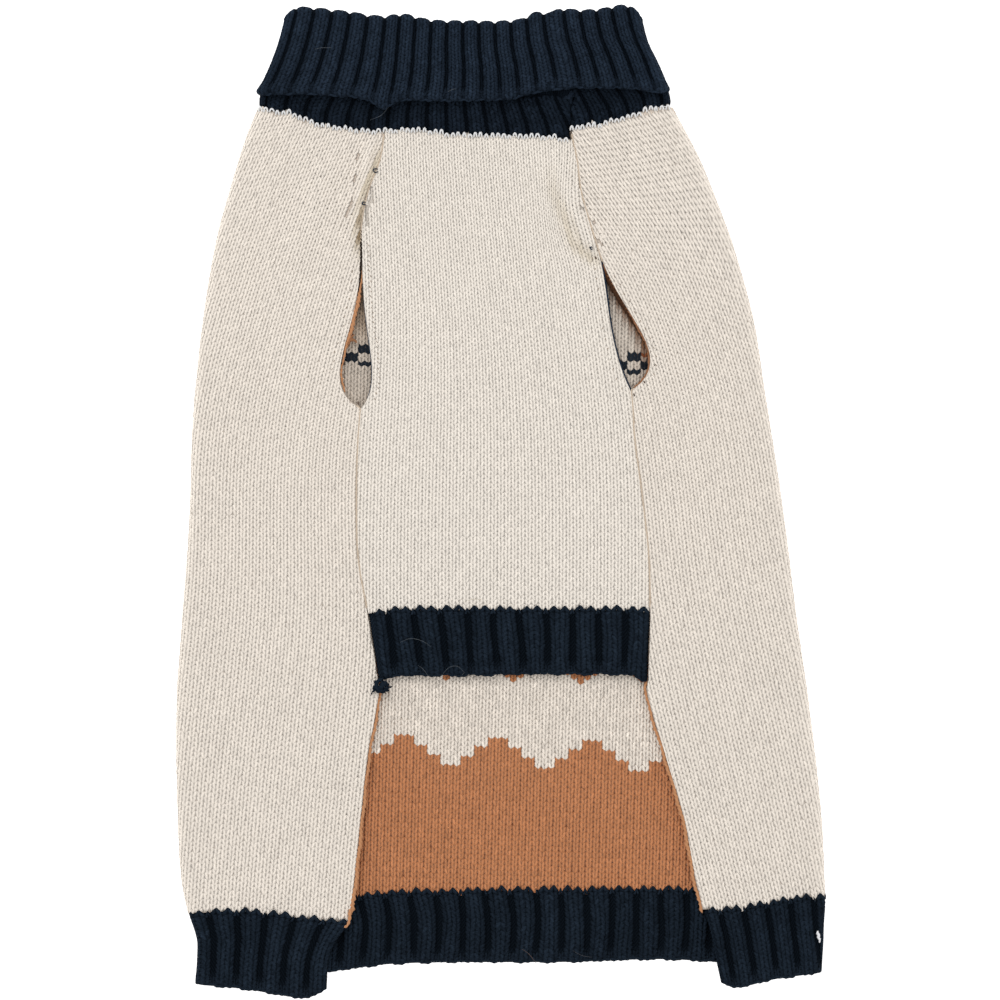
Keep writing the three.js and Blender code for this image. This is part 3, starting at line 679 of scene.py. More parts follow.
CREAM_YARN = yarn_material("cream yarn", 0.04, 0.1, 0.1, 0.12)
NAVY_YARN = yarn_material("navy yarn", 0.6, 0.0, 0.03, 0.35)
CREAM_CLOTH = cloth_material("cream knit", 0.80, 0.1, 0.1, 0.25)
NAVY_CLOTH = cloth_material("navy knit", 0.45, 0.0, 0.02, 0.8)


def paint_of(colour, shape, share=1.0):
    """One colour over a grid of points, times a share."""
    return np.broadcast_to(np.array(colour) * share, (*shape, 3)).copy()


# Back panel: the wall

NECK_ROW = 172.0
HEM_ROW = -186.0
BODY_ROWS = 120
END_ROWS = 12
MEETINGS = 8
CREASE_SINK = 0.45  # how much deeper the wall lies under a crease, whose ridge its coarser grid cuts across


def meet(start, sideways, line, key, column):
    """Place along the length where a line that moves sideways meets a curve, found by a few repeats."""
    y = start
    for _ in range(MEETINGS):
        y = curve(line, key, column, sideways(y))
    return y


def bend_ends(rows, top, bottom):
    """Rows of places, moved near both ends so that each column starts and ends on its own line."""
    index = np.arange(len(rows))
    near_top = ease(1 - index / END_ROWS)[:, None]
    near_bottom = ease(1 - (len(rows) - 1 - index) / END_ROWS)[:, None]
    return rows[:, None] + (top - rows[0]) * near_top + (bottom - rows[-1]) * near_bottom


WRAP_STEPS = dict(flap=34, fold=10, back=26)
ZONES = ("left_flap", "left_fold", "back", "right_fold", "right_flap")


def by_zone(zone, *values):
    """Values for the zones round the body, in the order of their names, picked by each column's zone."""
    return np.select([zone == name for name in ZONES[:-1]], values[:-1], values[-1])


def wrap_columns(steps=WRAP_STEPS):
    """Columns round the body as zones and shares: left flap, left fold, back, right fold, right flap."""
    flap = np.linspace(0, 1, steps["flap"])
    fold = np.linspace(0, 1, steps["fold"])[1:]
    back = np.linspace(0, 1, steps["back"])[1:]
    shares = (flap, fold, back, fold, flap[1:])
    names = np.repeat(ZONES, [len(part) for part in shares])
    return names, np.concatenate(shares)


def crease_sink(x, y):
    """How much deeper the wall lies at a place: all of the sink under a crease and none beside it."""
    return CREASE_SINK * np.minimum(4 * crease_rise(x, y), 1)


def wrap_points(lines, zone, share, y, inset):
    """Points of the cloth round the body: across a flap, round a fold's half circle, or across the back.
    Inset is the depth below the outer face."""
    left_turn = lines["left_fold"] + FOLD_RADIUS
    right_turn = lines["right_fold"] - FOLD_RADIUS
    radius = FOLD_RADIUS - inset
    turned = np.where(zone == "left_fold", share, 1 - share)
    angle = math.pi * (0.5 - turned)
    x = by_zone(
        zone,
        lerp(lines["left_flap"], left_turn, share),
        left_turn - radius * np.cos(angle),
        lerp(left_turn, right_turn, share),
        right_turn + radius * np.cos(angle),
        lerp(right_turn, lines["right_flap"], share),
    )
    folded = (zone == "left_fold") | (zone == "right_fold")
    sunk = front_height(lines, x, y) - inset - crease_sink(x, y)
    z = np.where(folded, FOLD_RADIUS + radius * np.sin(angle), sunk)
    z = np.where(zone == "back", inset, z)
    return np.stack([x, y + 0 * x, z], axis=-1)


def column_ends(curves, lines_at, start, zone, share):
    """Where each column ends on curves measured apart for the flaps and the back."""
    def sideways(y):
        return wrap_points(lines_at(y), zone, share, y, 0.0)[..., 0]

    start = np.full(len(zone), start)
    on = {name: meet(start, sideways, line, "x", "y") for name, line in curves.items()}
    mixed_left = lerp(on["left"], on["back"], share)
    mixed_right = lerp(on["back"], on["right"], share)
    return by_zone(zone, on["left"], mixed_left, on["back"], mixed_right, on["right"])


zone, share = wrap_columns()
NECK_CURVES = dict(left=NECK_LEFT, back=NECK_BACK, right=NECK_RIGHT)
body_y = bend_ends(
    np.linspace(NECK_ROW, HEM_ROW, BODY_ROWS),
    column_ends(NECK_CURVES, body_lines, NECK_ROW, zone, share),
    column_ends(HEM_SEAM, body_lines, HEM_ROW, zone, share),
)

# Knit fields

LEFT_KNIT = Knit(LEAN_LEFT, WALES_LEFT, -103.0)
RIGHT_KNIT = Knit(LEAN_RIGHT, WALES_RIGHT, 97.0)
BELLY_KNIT = Knit(LEAN_BELLY, WALES_BELLY, 0.0)
INSIDE_KNIT = Knit(LEAN_INSIDE, WALES_INSIDE, 2.0)


def course_at(knit, y):
    """Course number at a place along the middle line."""
    return float(np.interp(y, knit.y, knit.course))


BORDER_COURSE = round(course_at(INSIDE_KNIT, -108))
DIAMOND_COURSE = round(course_at(INSIDE_KNIT, -96))
CHECK_COURSE = round(course_at(INSIDE_KNIT, 66))


def inside_pattern(wale, course):
    """Colour number of the back panel's inner face, charted in whole stitches: 0 cream, 1 camel, 2 navy.
    A camel border rises in stepped points, with rows of small diamonds and one row of checks above it."""
    wale = np.round(wale)
    course = np.round(course)
    border = BORDER_COURSE + 2 * np.floor(np.abs((wale + 7) % 14 - 7) / 2)
    step = np.abs((wale + 3) % 10 - 5)
    rise = np.abs((course - DIAMOND_COURSE + 200 * 18) % 18 - 9)
    diamonds = (step + rise <= 2.0) & (course < BORDER_COURSE - 3)
    from_check = course - CHECK_COURSE
    checks = (np.abs(from_check) < 3) & ((np.floor(wale / 2) + np.floor(from_check / 2)) % 2 == 0)
    return np.select([course > border, checks, diamonds], [1, 2, 1], 0)


INSIDE_COLOURS = np.array([CREAM, CAMEL, NAVY])
# How strongly the painted shade darkens the strands of each colour where they dip
INSIDE_DEPTHS = np.array([[1.6, 1.8, 2.0], [9.0, 13.0, 17.0], [1.5, 1.5, 1.5]])
# Share of each colour left on the wall under the inside's stitches: painted shade in the gaps between them
UNDER_SHARES = np.array([[0.84, 0.76, 0.68], [0.42, 0.26, 0.15], [0.6, 0.6, 0.6]])
# Size of a stitch in the walls' maps
MAP_WALE = 3.1
MAP_COURSE = 2.1
BELLY_MAP_COURSE = 2.0

wall_lines = body_lines(body_y)
outer_inset = np.where(zone == "back", FLOOR_INSET, GROUND)
inner_inset = np.where(zone == "back", WALL - GROUND, WALL)
back_outer = wrap_points(wall_lines, zone, share, body_y, outer_inset)
back_inner = wrap_points(wall_lines, zone, share, body_y, inner_inset)
back_knit = np.stack([back_outer[..., 0] / MAP_WALE, back_outer[..., 1] / MAP_COURSE], axis=-1)
across = back_inner[..., 0] / MAP_WALE
down = np.interp(back_inner[..., 1], INSIDE_KNIT.y, INSIDE_KNIT.course)
inner_paint = (INSIDE_COLOURS * UNDER_SHARES)[inside_pattern(across, down)]
back_size = back_outer.shape[:2]
# Painted shade: away from the back, the wall is a darker cream where it shows between the flaps' stitches
outer_paint = np.where(
    (zone == "back")[None, :, None], paint_of(CREAM, back_size, 0.92), paint_of(SHADED_UNDER_CREAM, back_size)
)
back_cloth = wall_piece(
    "back_cloth", back_outer, back_inner, (back_knit, back_knit), (outer_paint, inner_paint), CREAM_CLOTH
)


# Back panel: the stitches

WRAP_LENGTH = FOLD_RADIUS * math.pi * 0.76
STITCH_REACH = 0.9  # how far past an edge a stitch may lie and still be drawn in to it
EDGE_HOLD = 0.1  # how far inside an edge its strands are held


def flap_surface(knit, on_left):
    """Surface of a flap's outer face for its knit, held inside its edges and wound round its fold."""
    def surface(wale, course, lift):
        x, y = knit.flat(wale, course)
        lines = body_lines(y)
        if on_left:
            x = np.minimum(x, lines["left_flap"] - EDGE_HOLD)
        else:
            x = np.maximum(x, lines["right_flap"] + EDGE_HOLD)
        return over_fold(lines, x, y, lift)
    return surface


def top_of(curves, x):
    """Line of a neck or hem curve at places across."""
    return curve(curves, "x", "y", x)


def fold_shade(x, y):
    """Warm shade on the strip of the left flap that turns down to the seam: full at the seam, gone at the
    ridge beside it, and faded out above and below."""
    from_seam = body_lines(y)["left_flap"] - x
    strength = ease(1 - from_seam / 5.0) * ease((y - 106) / 16) * ease((168 - y) / 14)
    deep = ease(1 - from_seam / 2.6) * ease((y - 112) / 8) * ease((140 - y) / 14)
    warm = 1 - strength[:, None] * np.array([0.24, 0.28, 0.38])
    return warm * (1 - deep[:, None] * np.array([0.55, 0.62, 0.70]))


def flap_stitches(name, knit, on_left):
    """Every stitch of a flap from its inner edge out and round the fold, from the neck to the hem."""
    wale, course = lattice((-40, 40), (0, 200))
    x, y = knit.flat(wale, course)
    lines = body_lines(y)
    side = "left" if on_left else "right"
    neck = NECK_LEFT if on_left else NECK_RIGHT
    if on_left:
        inside = x < lines["left_flap"] + STITCH_REACH
        inside &= x > lines["left_fold"] + FOLD_RADIUS - WRAP_LENGTH
    else:
        inside = x > lines["right_flap"] - STITCH_REACH
        inside &= x < lines["right_fold"] - FOLD_RADIUS + WRAP_LENGTH
    held = np.clip(x, lines["left_fold"], lines["right_fold"])
    inside &= (y < top_of(neck, held) - 0.2) & (y > top_of(HEM_SEAM[side], held) + 0.4)
    wale = wale[inside]
    course = course[inside]
    colour = np.broadcast_to(np.array(CREAM), (len(wale), 3))
    if on_left:
        colour = colour * fold_shade(x[inside], y[inside])
    return stitch_piece(
        name, wale, course, flap_surface(knit, on_left), colour, CREAM_YARN, depth=np.ones((len(wale), 3))
    )


left_stitches = flap_stitches("back_stitches_left", LEFT_KNIT, True)
right_stitches = flap_stitches("back_stitches_right", RIGHT_KNIT, False)


def inside_surface(wale, course, lift):
    """Surface of the back panel's inner face, which looks up through the openings."""
    x, y = INSIDE_KNIT.flat(wale, course)
    return np.stack([x, y, WALL + lift], axis=-1)


def leg_shade(x, y):
    """Painted shade of the inner face: almost none below the belly band, and under the leg openings darker
    towards their tops, and brown along the right flap, where its edge shades the opening."""
    lines = body_lines(y)
    under = y > 30
    warm = lerp(np.array([1, 0.96, 0.92]), np.array([1, 0.84, 0.68]), ease((y - 66) / 24)[:, None])
    left = lerp(0.64, 0.17, ease((y - 70) / 30))[:, None] * warm
    by_flap = ease(1 - (lines["right_flap"] - x) / 7.5) * ease((y - 54) / 14)
    right = lerp(0.72, 0.28, ease((y - 84) / 24))[:, None] * np.array([1, 0.97, 0.94])
    right = right * (1 - by_flap[:, None] * np.array([0.72, 0.86, 0.93]))
    shade = np.where((x < 0)[:, None], left, right)
    return np.where(under[:, None], shade, np.array([0.97, 0.96, 0.95]))


def inside_stitches():
    """Stitches of the inner face where it shows: below the belly band and under the leg openings."""
    wale, course = lattice((-60, 60), (0, 200))
    x, y = INSIDE_KNIT.flat(wale, course)
    lines = body_lines(y)
    hem = (y < BELLY_BAND_BOTTOM + 6) & (x > lines["left_flap"] - 7) & (x < lines["right_flap"] + 7)
    hem &= y > top_of(HEM_SEAM["back"], x) - 0.2
    left_leg = (y < 122) & (y > 38) & (x > lines["left_flap"] - 6) & (x < lines["belly_left"] + 6)
    right_leg = (y < 114) & (y > 46) & (x > lines["right_flap"] - 20) & (x < lines["right_flap"] + 6)
    shown = hem | left_leg | right_leg
    wale = wale[shown]
    course = course[shown]
    motif = inside_pattern(wale, course)
    colour = INSIDE_COLOURS[motif] * leg_shade(x[shown], y[shown])
    return stitch_piece(
        "inside_stitches", wale, course, inside_surface, colour, CREAM_YARN, fuzz=0.06,
        depth=INSIDE_DEPTHS[motif],
    )


inner_stitches = inside_stitches()


# Belly panel

BELLY_ROWS = 90
BELLY_COLUMNS = 40


def belly_seam_drop(share):
    """How far the belly band's seam falls away towards its two ends."""
    return -1.6 * ease(1 - share / 0.11) - 1.2 * ease((share - 0.93) / 0.07)


def belly_grid(inset):
    """Points of the belly piece between its edges, from the neck seam to the band's seam, at a depth below
    its outer face."""
    share = np.linspace(0, 1, BELLY_COLUMNS)
    bottom_line = BELLY_BAND_TOP + SEAM_GAP

    def sideways(y):
        lines = body_lines(y)
        return lerp(lines["belly_left"], lines["belly_right"], share)

    ends = meet(np.full(BELLY_COLUMNS, NECK_ROW), sideways, NECK_BELLY, "x", "y")
    rows = np.linspace(NECK_ROW, bottom_line, BELLY_ROWS)
    y = bend_ends(rows, ends, bottom_line + belly_seam_drop(share))
    lines = body_lines(y)
    x = lerp(lines["belly_left"], lines["belly_right"], share)
    z = front_height(lines, x, y) - inset - crease_sink(x, y)
    return np.stack([x, y, z], axis=-1)


belly_outer = belly_grid(GROUND)
belly_inner = belly_grid(WALL)
belly_map = np.stack([belly_outer[..., 0] / MAP_WALE, belly_outer[..., 1] / BELLY_MAP_COURSE], axis=-1)
# Painted shade: the belly's wall is a darker oat where it shows between its stitches
belly_paint = paint_of(SHADED_UNDER_OAT, belly_outer.shape[:2])
belly_cloth = wall_piece(
    "belly_cloth", belly_outer, belly_inner, (belly_map, belly_map), (belly_paint, belly_paint), CREAM_CLOTH
)


def belly_flat(wale, course):
    """Place on the flat belly piece: its wales swing to the left where the cloth puckers beside the right
    seam, by a bell across that fades in and out along the seam."""
    x, y = BELLY_KNIT.flat(wale, course)
    swing = 4.0 * np.exp(-(((x - 33) / 10) ** 2)) * ease((168 - y) / 34) * ease((y - 104) / 30)
    return x - swing, y


def belly_surface(wale, course, lift):
    """Surface of the belly piece's outer face, held inside its edges."""
    x, y = belly_flat(wale, course)
    lines = body_lines(y)
    x = np.clip(x, lines["belly_left"] + EDGE_HOLD, lines["belly_right"] - EDGE_HOLD)
    return np.stack([x, y, front_height(lines, x, y) + lift], axis=-1)


def streak(x, y, places, reach):
    """Strength of a soft shade along a line through a few places with their strengths: the largest, over the
    line's pieces, of the strength there times a bell of the distance."""
    strongest = np.zeros(len(x))
    for (x0, y0, start), (x1, y1, end) in zip(places, places[1:]):
        run = np.array([x1 - x0, y1 - y0])
        t = np.clip(((x - x0) * run[0] + (y - y0) * run[1]) / (run @ run), 0, 1)
        away = np.hypot(x - x0 - t * run[0], y - y0 - t * run[1])
        strongest = np.maximum(strongest, lerp(start, end, t) * np.exp(-((away / reach) ** 2)))
    return strongest


# Shade of the belly's soft crease beside the right seam: places and strengths, and its tone
BELLY_STREAK = (
    (22.5, 156.0, 0.0), (24.0, 143.0, 0.5), (34.0, 118.0, 1.0), (41.0, 112.0, 1.0), (46.5, 108.5, 0.3)
)
STREAK_TONE = np.array([0.15, 0.18, 0.25])


def belly_stitches():
    """Every stitch of the belly piece."""
    wale, course = lattice((-40, 40), (0, 200))
    x, y = belly_flat(wale, course)
    lines = body_lines(y)
    inside = (x > lines["belly_left"] - STITCH_REACH) & (x < lines["belly_right"] + STITCH_REACH)
    share = (x - lines["belly_left"]) / (lines["belly_right"] - lines["belly_left"])
    inside &= (y < top_of(NECK_BELLY, x) - 0.1) & (y > BELLY_BAND_TOP + belly_seam_drop(share) + 0.2)
    wale = wale[inside]
    course = course[inside]
    shade = streak(x[inside], y[inside], BELLY_STREAK, 2.8)[:, None] * STREAK_TONE
    colour = np.array(OAT) * (1 - shade)
    return stitch_piece(
        "belly_stitches", wale, course, belly_surface, colour, CREAM_YARN, depth=np.ones((len(wale), 3))
    )


front_stitches = belly_stitches()


# Ribbed bands

RAISED = 0.80  # share of a rib repeat that stands up
RIB_STEPS = 10
WELT_START = 0.80
WELT_LENGTH = 0.12
EDGE_SCALLOP = 0.5  # how far a band's free edge draws in between two ribs
RIB_WALES = 3  # wales in a repeat: two raised ones and the narrow one between the ribs
SEAM_RISE = 0.4  # share of a rib's height that it has at the seam
FLANK_SHADE = 0.80


def rib_profile(rib, raised=RAISED):
    """Height of a rib across its repeat, from 0 to 1: a rounded ridge over the raised share, and a valley."""
    phase = np.mod(rib, 1.0)
    t = np.clip(phase / raised, 0, 1)
    return np.where(phase < raised, (1 - np.abs(2 * t - 1) ** 2.4) ** 0.8, 0.0)


def ribbed(profile, down):
    """Height of a ribbed band from 0 to 1: its ribs, with the valleys between them filled towards the free
    edge, where every wale stands up in a plump welt."""
    filled = 0.85 * ease((down - WELT_START) / WELT_LENGTH)
    return (profile + (1 - profile) * filled) * lerp(SEAM_RISE, 1.0, ease(down / 0.10))


def wobble(rib, down):
    """Small sideways drift of the ribs, in millimetres: two slow waves across the ribs and down them."""
    return 0.30 * np.sin(1.9 * rib + 4.0 * down) + 0.18 * np.sin(5.3 * rib - 7.0 * down)


def roll(down):
    """Drop of a band's free edge, where the knit turns over: a quarter circle over the last of its depth."""
    t = np.clip((down - 0.94) / 0.06, 0, 1)
    return 1 - np.sqrt(1 - t**2)


def band_rows(count):
    """Shares of a band's depth, closer together at its free edge."""
    return np.concatenate([np.linspace(0, 0.92, count), [0.95, 0.97, 0.985, 0.995, 1.0]])


def rib_columns(first, last):
    """Places across a ribbed stretch, in ribs."""
    return np.linspace(first, last, math.ceil(last - first) * RIB_STEPS + 1)


def rib_share(rib, side, down=1.0):
    """Share of a band's width at a place in ribs, for one of the bands at a share of its depth."""
    first, last = RIB_RANGES[side]
    return (rib - first) / (last + RIB_LEAN.get(side, 0.0) * (1 - down) - first)


def rib_paint(profile, colour=BAND_NAVY):
    """Navy cloth with painted shade: darker in the valleys between the ribs."""
    return np.array(colour) * (0.42 + 0.58 * profile)[..., None]


def rib_stitch_lattice(side, courses):
    """Stitches on the raised wales of each rib, and on every wale in the last courses."""
    first, last = RIB_RANGES[side]
    last += ROUND_RIBS[side] + RIB_LEAN.get(side, 0.0) - 0.06
    rib, slot, course = np.meshgrid(
        np.arange(math.floor(first), math.ceil(last)), np.arange(RIB_WALES), np.arange(courses), indexing="ij"
    )
    middle = rib + slot_place(slot + 0.5)
    shown = ((slot < 2) | (course >= 0.86 * courses)) & (middle > first + 0.08) & (middle < last)
    return (rib * RIB_WALES + slot)[shown] + 0.5, course[shown].astype(float)


def leg_colour(wale, colour, in_welt):
    """Colour of both strands of rib stitches, with painted shade: darker on a rib's flanks and darker still between
    the ribs.
    """
    slot = np.floor(np.mod(wale, RIB_WALES))
    left = np.select([slot == 0, slot == 1], [FLANK_SHADE, 1.0], 0.45 + 0.4 * in_welt)
    right = np.select([slot == 0, slot == 1], [1.0, FLANK_SHADE], 0.45 + 0.4 * in_welt)
    return np.stack([left, right], axis=-1)[..., None] * np.array(colour)


# Belly hem band

def belly_band_place(rib, down, inset, rise):
    """Point of the belly band: across by its ribs and down by its depth, on the belly piece's layer."""
    scallop = EDGE_SCALLOP * (1 - rib_profile(rib)) * ease((down - 0.5) / 0.5)
    share = rib_share(rib, "belly")
    top = BELLY_BAND_TOP + belly_seam_drop(share)
    bottom = BELLY_BAND_BOTTOM - 1.8 * ease(1 - share / 0.10) - 3.2 * ease((share - 0.95) / 0.05)
    y = lerp(top, bottom + 0.7 * ease((share - 0.3) / 0.3) * ease((0.95 - share) / 0.1), down) + scallop
    lines = body_lines(y)
    x = lerp(lines["belly_left"], lines["belly_right"], share) + wobble(rib, down)
    x = np.clip(x, lines["belly_left"] + 0.05, lines["belly_right"] - 0.05)
    drop = roll(down) * 1.3
    return np.stack([x, y, front_height(lines, x, y) - inset + rise - drop], axis=-1)


def band_wall(name, place, side, rows=16):
    """Ribbed wall over a plain inner face, for a place function of ribs, depth, inset and rise."""
    rib, down = np.meshgrid(rib_columns(*RIB_RANGES[side]), band_rows(rows))
    profile = rib_profile(rib)
    height = ribbed(profile, down)
    outer = place(rib, down, RIB_GROUND, RIB_RISE * height)
    inner = place(rib, down, WALL, 0 * rib)
    inner[..., 2] += (roll(down) * 1.3)
    knit = np.stack([rib * RIB_WALES, down * 16], axis=-1)
    paints = (rib_paint(height), rib_paint(0 * profile))
    return wall_piece(name, outer, inner, (knit, knit), paints, NAVY_CLOTH)


def band_surface(place, courses, seam_lift=0.0):
    """Surface of a band's ribs for its stitches, whose first course starts at the seam."""
    def surface(wale, course, lift):
        rib = np.floor(wale / RIB_WALES) + slot_place(np.mod(wale, RIB_WALES))
        down = np.minimum((course + 0.5) / courses, 1)
        height = ribbed(rib_profile(rib), down)
        return place(rib, down, 0.0, RIB_RISE * height + seam_lift + lift)

    return surface


def band_stitches(name, place, side, depth):
    """Stitches over the ribs of a band."""
    courses = int(depth / RIB_COURSE)
    wale, course = rib_stitch_lattice(side, courses)
    colour = leg_colour(wale, BAND_NAVY, ease((course / courses - 0.80) / 0.16))
    return stitch_piece(name, wale, course, band_surface(place, courses), colour, NAVY_YARN, fuzz=0.12)


def band_peaks(name, place, side, depth):
    """Points of a band's first course, which stand over the seam against the cloth above: one for each
    raised wale, and a low one between the ribs."""
    courses = int(depth / RIB_COURSE)
    first, last = RIB_RANGES[side]
    last += ROUND_RIBS[side] + RIB_LEAN.get(side, 0.0)
    wale = np.arange(math.floor(first) * RIB_WALES, math.ceil(last) * RIB_WALES) + 0.5
    middle = np.floor(wale / RIB_WALES) + slot_place(np.mod(wale, RIB_WALES))
    wale = wale[(middle > first + 0.05) & (middle < last)]
    low = np.where(np.mod(wale, RIB_WALES) > 2, 0.35, rng.normal(-0.20, 0.08, len(wale)))
    surface = band_surface(place, courses, 0.3)
    colour = np.broadcast_to(np.array(BAND_NAVY), (len(wale), 3))
    return stitch_piece(
        name, wale, low - 0.5, surface, colour, NAVY_YARN, True, 0.1, PEAK_OUT, PEAK_HALF
    )


def slot_place(slot):
    """Place across a rib repeat for a place in wales: the raised wales share the raised part evenly."""
    return np.interp(slot, [0.0, 2.0, 3.0], [0.0, RAISED, 1.0])


BELLY_BAND_DEPTH = BELLY_BAND_TOP - BELLY_BAND_BOTTOM
belly_band_cloth = band_wall("belly_band_cloth", belly_band_place, "belly")
belly_band_knit = [
    band_stitches("belly_band_stitches", belly_band_place, "belly", BELLY_BAND_DEPTH),
    band_peaks("belly_band_peaks", belly_band_place, "belly", BELLY_BAND_DEPTH),
]


# Back hem band

hem_zone, hem_share = wrap_columns(dict(flap=6 * RIB_STEPS + 1, fold=10, back=25 * RIB_STEPS + 1))
hem_top = column_ends(HEM_SEAM, body_lines, HEM_ROW, hem_zone, hem_share) - SEAM_GAP
hem_bottom = column_ends(HEM_EDGE, lambda y: band_lines(np.ones_like(y)), -220.0, hem_zone, hem_share)


def hem_band_wall():
    """Ribbed wall round the hem: its ribs stand on the faces that look up, the outer face of the flaps and
    the inner face of the back."""
    down = band_rows(16)[:, None]
    y = lerp(hem_top, hem_bottom, down)
    lines = band_lines(down + 0 * y)
    right_last = RIB_RANGES["right"][1] + RIB_LEAN["right"] * (1 - down)
    rib = np.select(
        [hem_zone == "left_flap", hem_zone == "left_fold", hem_zone == "back", hem_zone == "right_fold"],
        [
            lerp(*RIB_RANGES["left"], hem_share) + 0 * down,
            RIB_RANGES["left"][1] + hem_share * FOLD_RIBS + 0 * down,
            lerp(*RIB_RANGES["back"], hem_share) + 0 * down,
            right_last + (1 - hem_share) * FOLD_RIBS,
        ],
        lerp(RIB_RANGES["right"][0], right_last, 1 - hem_share),
    )
    profile = rib_profile(rib)
    height = ribbed(profile, down)
    rise = RIB_RISE * height
    looks_up_out = hem_zone != "back"
    outer = wrap_points(lines, hem_zone, hem_share, y, np.where(looks_up_out, RIB_GROUND, 0.02))
    inner = wrap_points(lines, hem_zone, hem_share, y, np.where(looks_up_out, WALL, WALL - RIB_GROUND))
    flaps = np.isin(hem_zone, ["left_flap", "right_flap"])
    settled = np.where(flaps, 1.0, 0.0)
    for fold, to_top in (("left_fold", 1 - hem_share), ("right_fold", hem_share)):
        settled = np.where(hem_zone == fold, ease((to_top - 0.5) / 0.5), settled)
    outer[..., 2] += (rise - roll(down) * 1.3) * settled
    inner[..., 2] += np.where(hem_zone == "back", rise - roll(down) * 1.3, 0)
    knit = np.stack([rib * RIB_WALES + 0 * down, down * 18 + 0 * rib], axis=-1)
    paints = (rib_paint(np.where(looks_up_out, height, 0.9)), rib_paint(np.where(hem_zone == "back", height, 0.4)))
    return wall_piece("hem_band_cloth", outer, inner, (knit, knit), paints, NAVY_CLOTH)


def hem_flap_place(side):
    """Place function of the hem band on one flap: ribs run from the flap's edge out and round the fold."""
    def place(rib, down, inset, rise):
        lines = band_lines(down)
        edge = lines[f"{side}_flap"]
        turn = lines[f"{side}_fold"] + (FOLD_RADIUS if side == "left" else -FOLD_RADIUS)
        x = lerp(edge, turn, rib_share(rib, side, down))
        scallop = EDGE_SCALLOP * (1 - rib_profile(rib)) * ease((down - 0.5) / 0.5)
        y = lerp(top_of(HEM_SEAM[side], x) - SEAM_GAP, top_of(HEM_EDGE[side], x), down) + scallop
        past = np.abs(x - turn) * (np.abs(x - edge) > np.abs(turn - edge))
        lift = rise * (1 - 0.85 * ease(past / (FOLD_RADIUS * math.pi / 2)))
        point = over_fold(lines, x, y, lift - inset)
        point[..., 2] -= roll(down) * 1.3
        return point

    return place


def hem_back_place(rib, down, inset, rise):
    """Place function of the hem band on the back's inner face."""
    lines = band_lines(down)
    x = lerp(lines["left_fold"] + FOLD_RADIUS, lines["right_fold"] - FOLD_RADIUS, rib_share(rib, "back"))
    x = x + wobble(rib, down)
    scallop = EDGE_SCALLOP * (1 - rib_profile(rib)) * ease((down - 0.5) / 0.5)
    y = lerp(top_of(HEM_SEAM["back"], x) - SEAM_GAP, top_of(HEM_EDGE["back"], x), down) + scallop
    return np.stack([x, y, WALL - inset + rise - roll(down) * 1.3], axis=-1)


hem_band_cloth = hem_band_wall()
HEM_PLACES = dict(left=hem_flap_place("left"), right=hem_flap_place("right"), back=hem_back_place)
HEM_DEPTHS = dict(left=35.0, right=34.0, back=33.0)
hem_knit = [band_stitches(f"hem_stitches_{side}", HEM_PLACES[side], side, HEM_DEPTHS[side]) for side in HEM_PLACES]
hem_knit += [band_peaks(f"hem_peaks_{side}", HEM_PLACES[side], side, HEM_DEPTHS[side]) for side in HEM_PLACES]


# Collar

COLLAR_RAISED = 0.88
CORNER_DROP = 4.2  # how far the fold falls away round each side
FOLD_BULGE = 1.0  # how far a rib stands out of the collar's fold
FOLD_DROP = 1.1  # how far the valleys lie below the tops of the ribs at the fold
COLLAR_RISE = 1.45
COLLAR_HEIGHT = 41.0
SIDE_RIBS = 2.2  # ribs round the half circle at each side
COLLAR_FILL = 0.7  # how far the valleys are filled at the turned edge
PLEATS = ((0.275, 0.016, 1.5), (0.335, 0.012, -0.8), (0.665, 0.018, 1.2), (0.72, 0.013, -0.7))


def collar_line(rows, across, front):
    """Height of the fold or the turned edge: as measured on the front, and behind the straight line from
    side to side or the front's own line less a little, whichever is lower."""
    measured = curve(rows, "across", "y", across)
    behind = np.minimum(lerp(rows["y"][0], rows["y"][-1], across), measured - 1.5 * np.sin(math.pi * across))
    return np.where(front, measured, behind)


def round_collar(rib):
    """Zone, share of the zone and share of the width for places counted in ribs from the front's left."""
    zone = np.where(rib < 0, "left_fold", np.where(rib > COLLAR_RIBS, "right_fold", "front"))
    across = curve(COLLAR_SPREAD, "rib", "share", rib)
    share = np.where(rib < 0, 1 + rib / SIDE_RIBS, across)
    share = np.where(rib > COLLAR_RIBS, (rib - COLLAR_RIBS) / SIDE_RIBS, share)
    return zone, share, across


def tube_points(left, right, low, high, side_top, zone, share, inset=0.0, rise=0.0, room=0.0):
    """Points of a flattened ring: across the front, round the right fold, back along the floor side and
    round the left fold. Rise lifts a point out of the ring, and room is kept for it at both sides."""
    radius = (side_top - low) / 2
    middle = (side_top + low) / 2
    left_turn = left + radius + room
    right_turn = right - radius - room
    front_x = lerp(left_turn, right_turn, share)
    settled = ease(np.minimum(front_x - left_turn, right_turn - front_x) / FOLD_SOFTNESS)
    front_z = lerp(side_top, high, settled) - inset + rise
    angle = math.pi * np.where(zone == "right_fold", 0.5 - share, share - 0.5)
    reach = radius - inset + rise * ease(1 + np.sin(angle))
    x = np.select(
        [zone == "front", zone == "back", zone == "right_fold"],
        [front_x, lerp(right_turn, left_turn, share), right_turn + reach * np.cos(angle)],
        left_turn - reach * np.cos(angle),
    )
    z = np.select([zone == "front", zone == "back"], [front_z, low + inset], middle + reach * np.sin(angle))
    return x, z


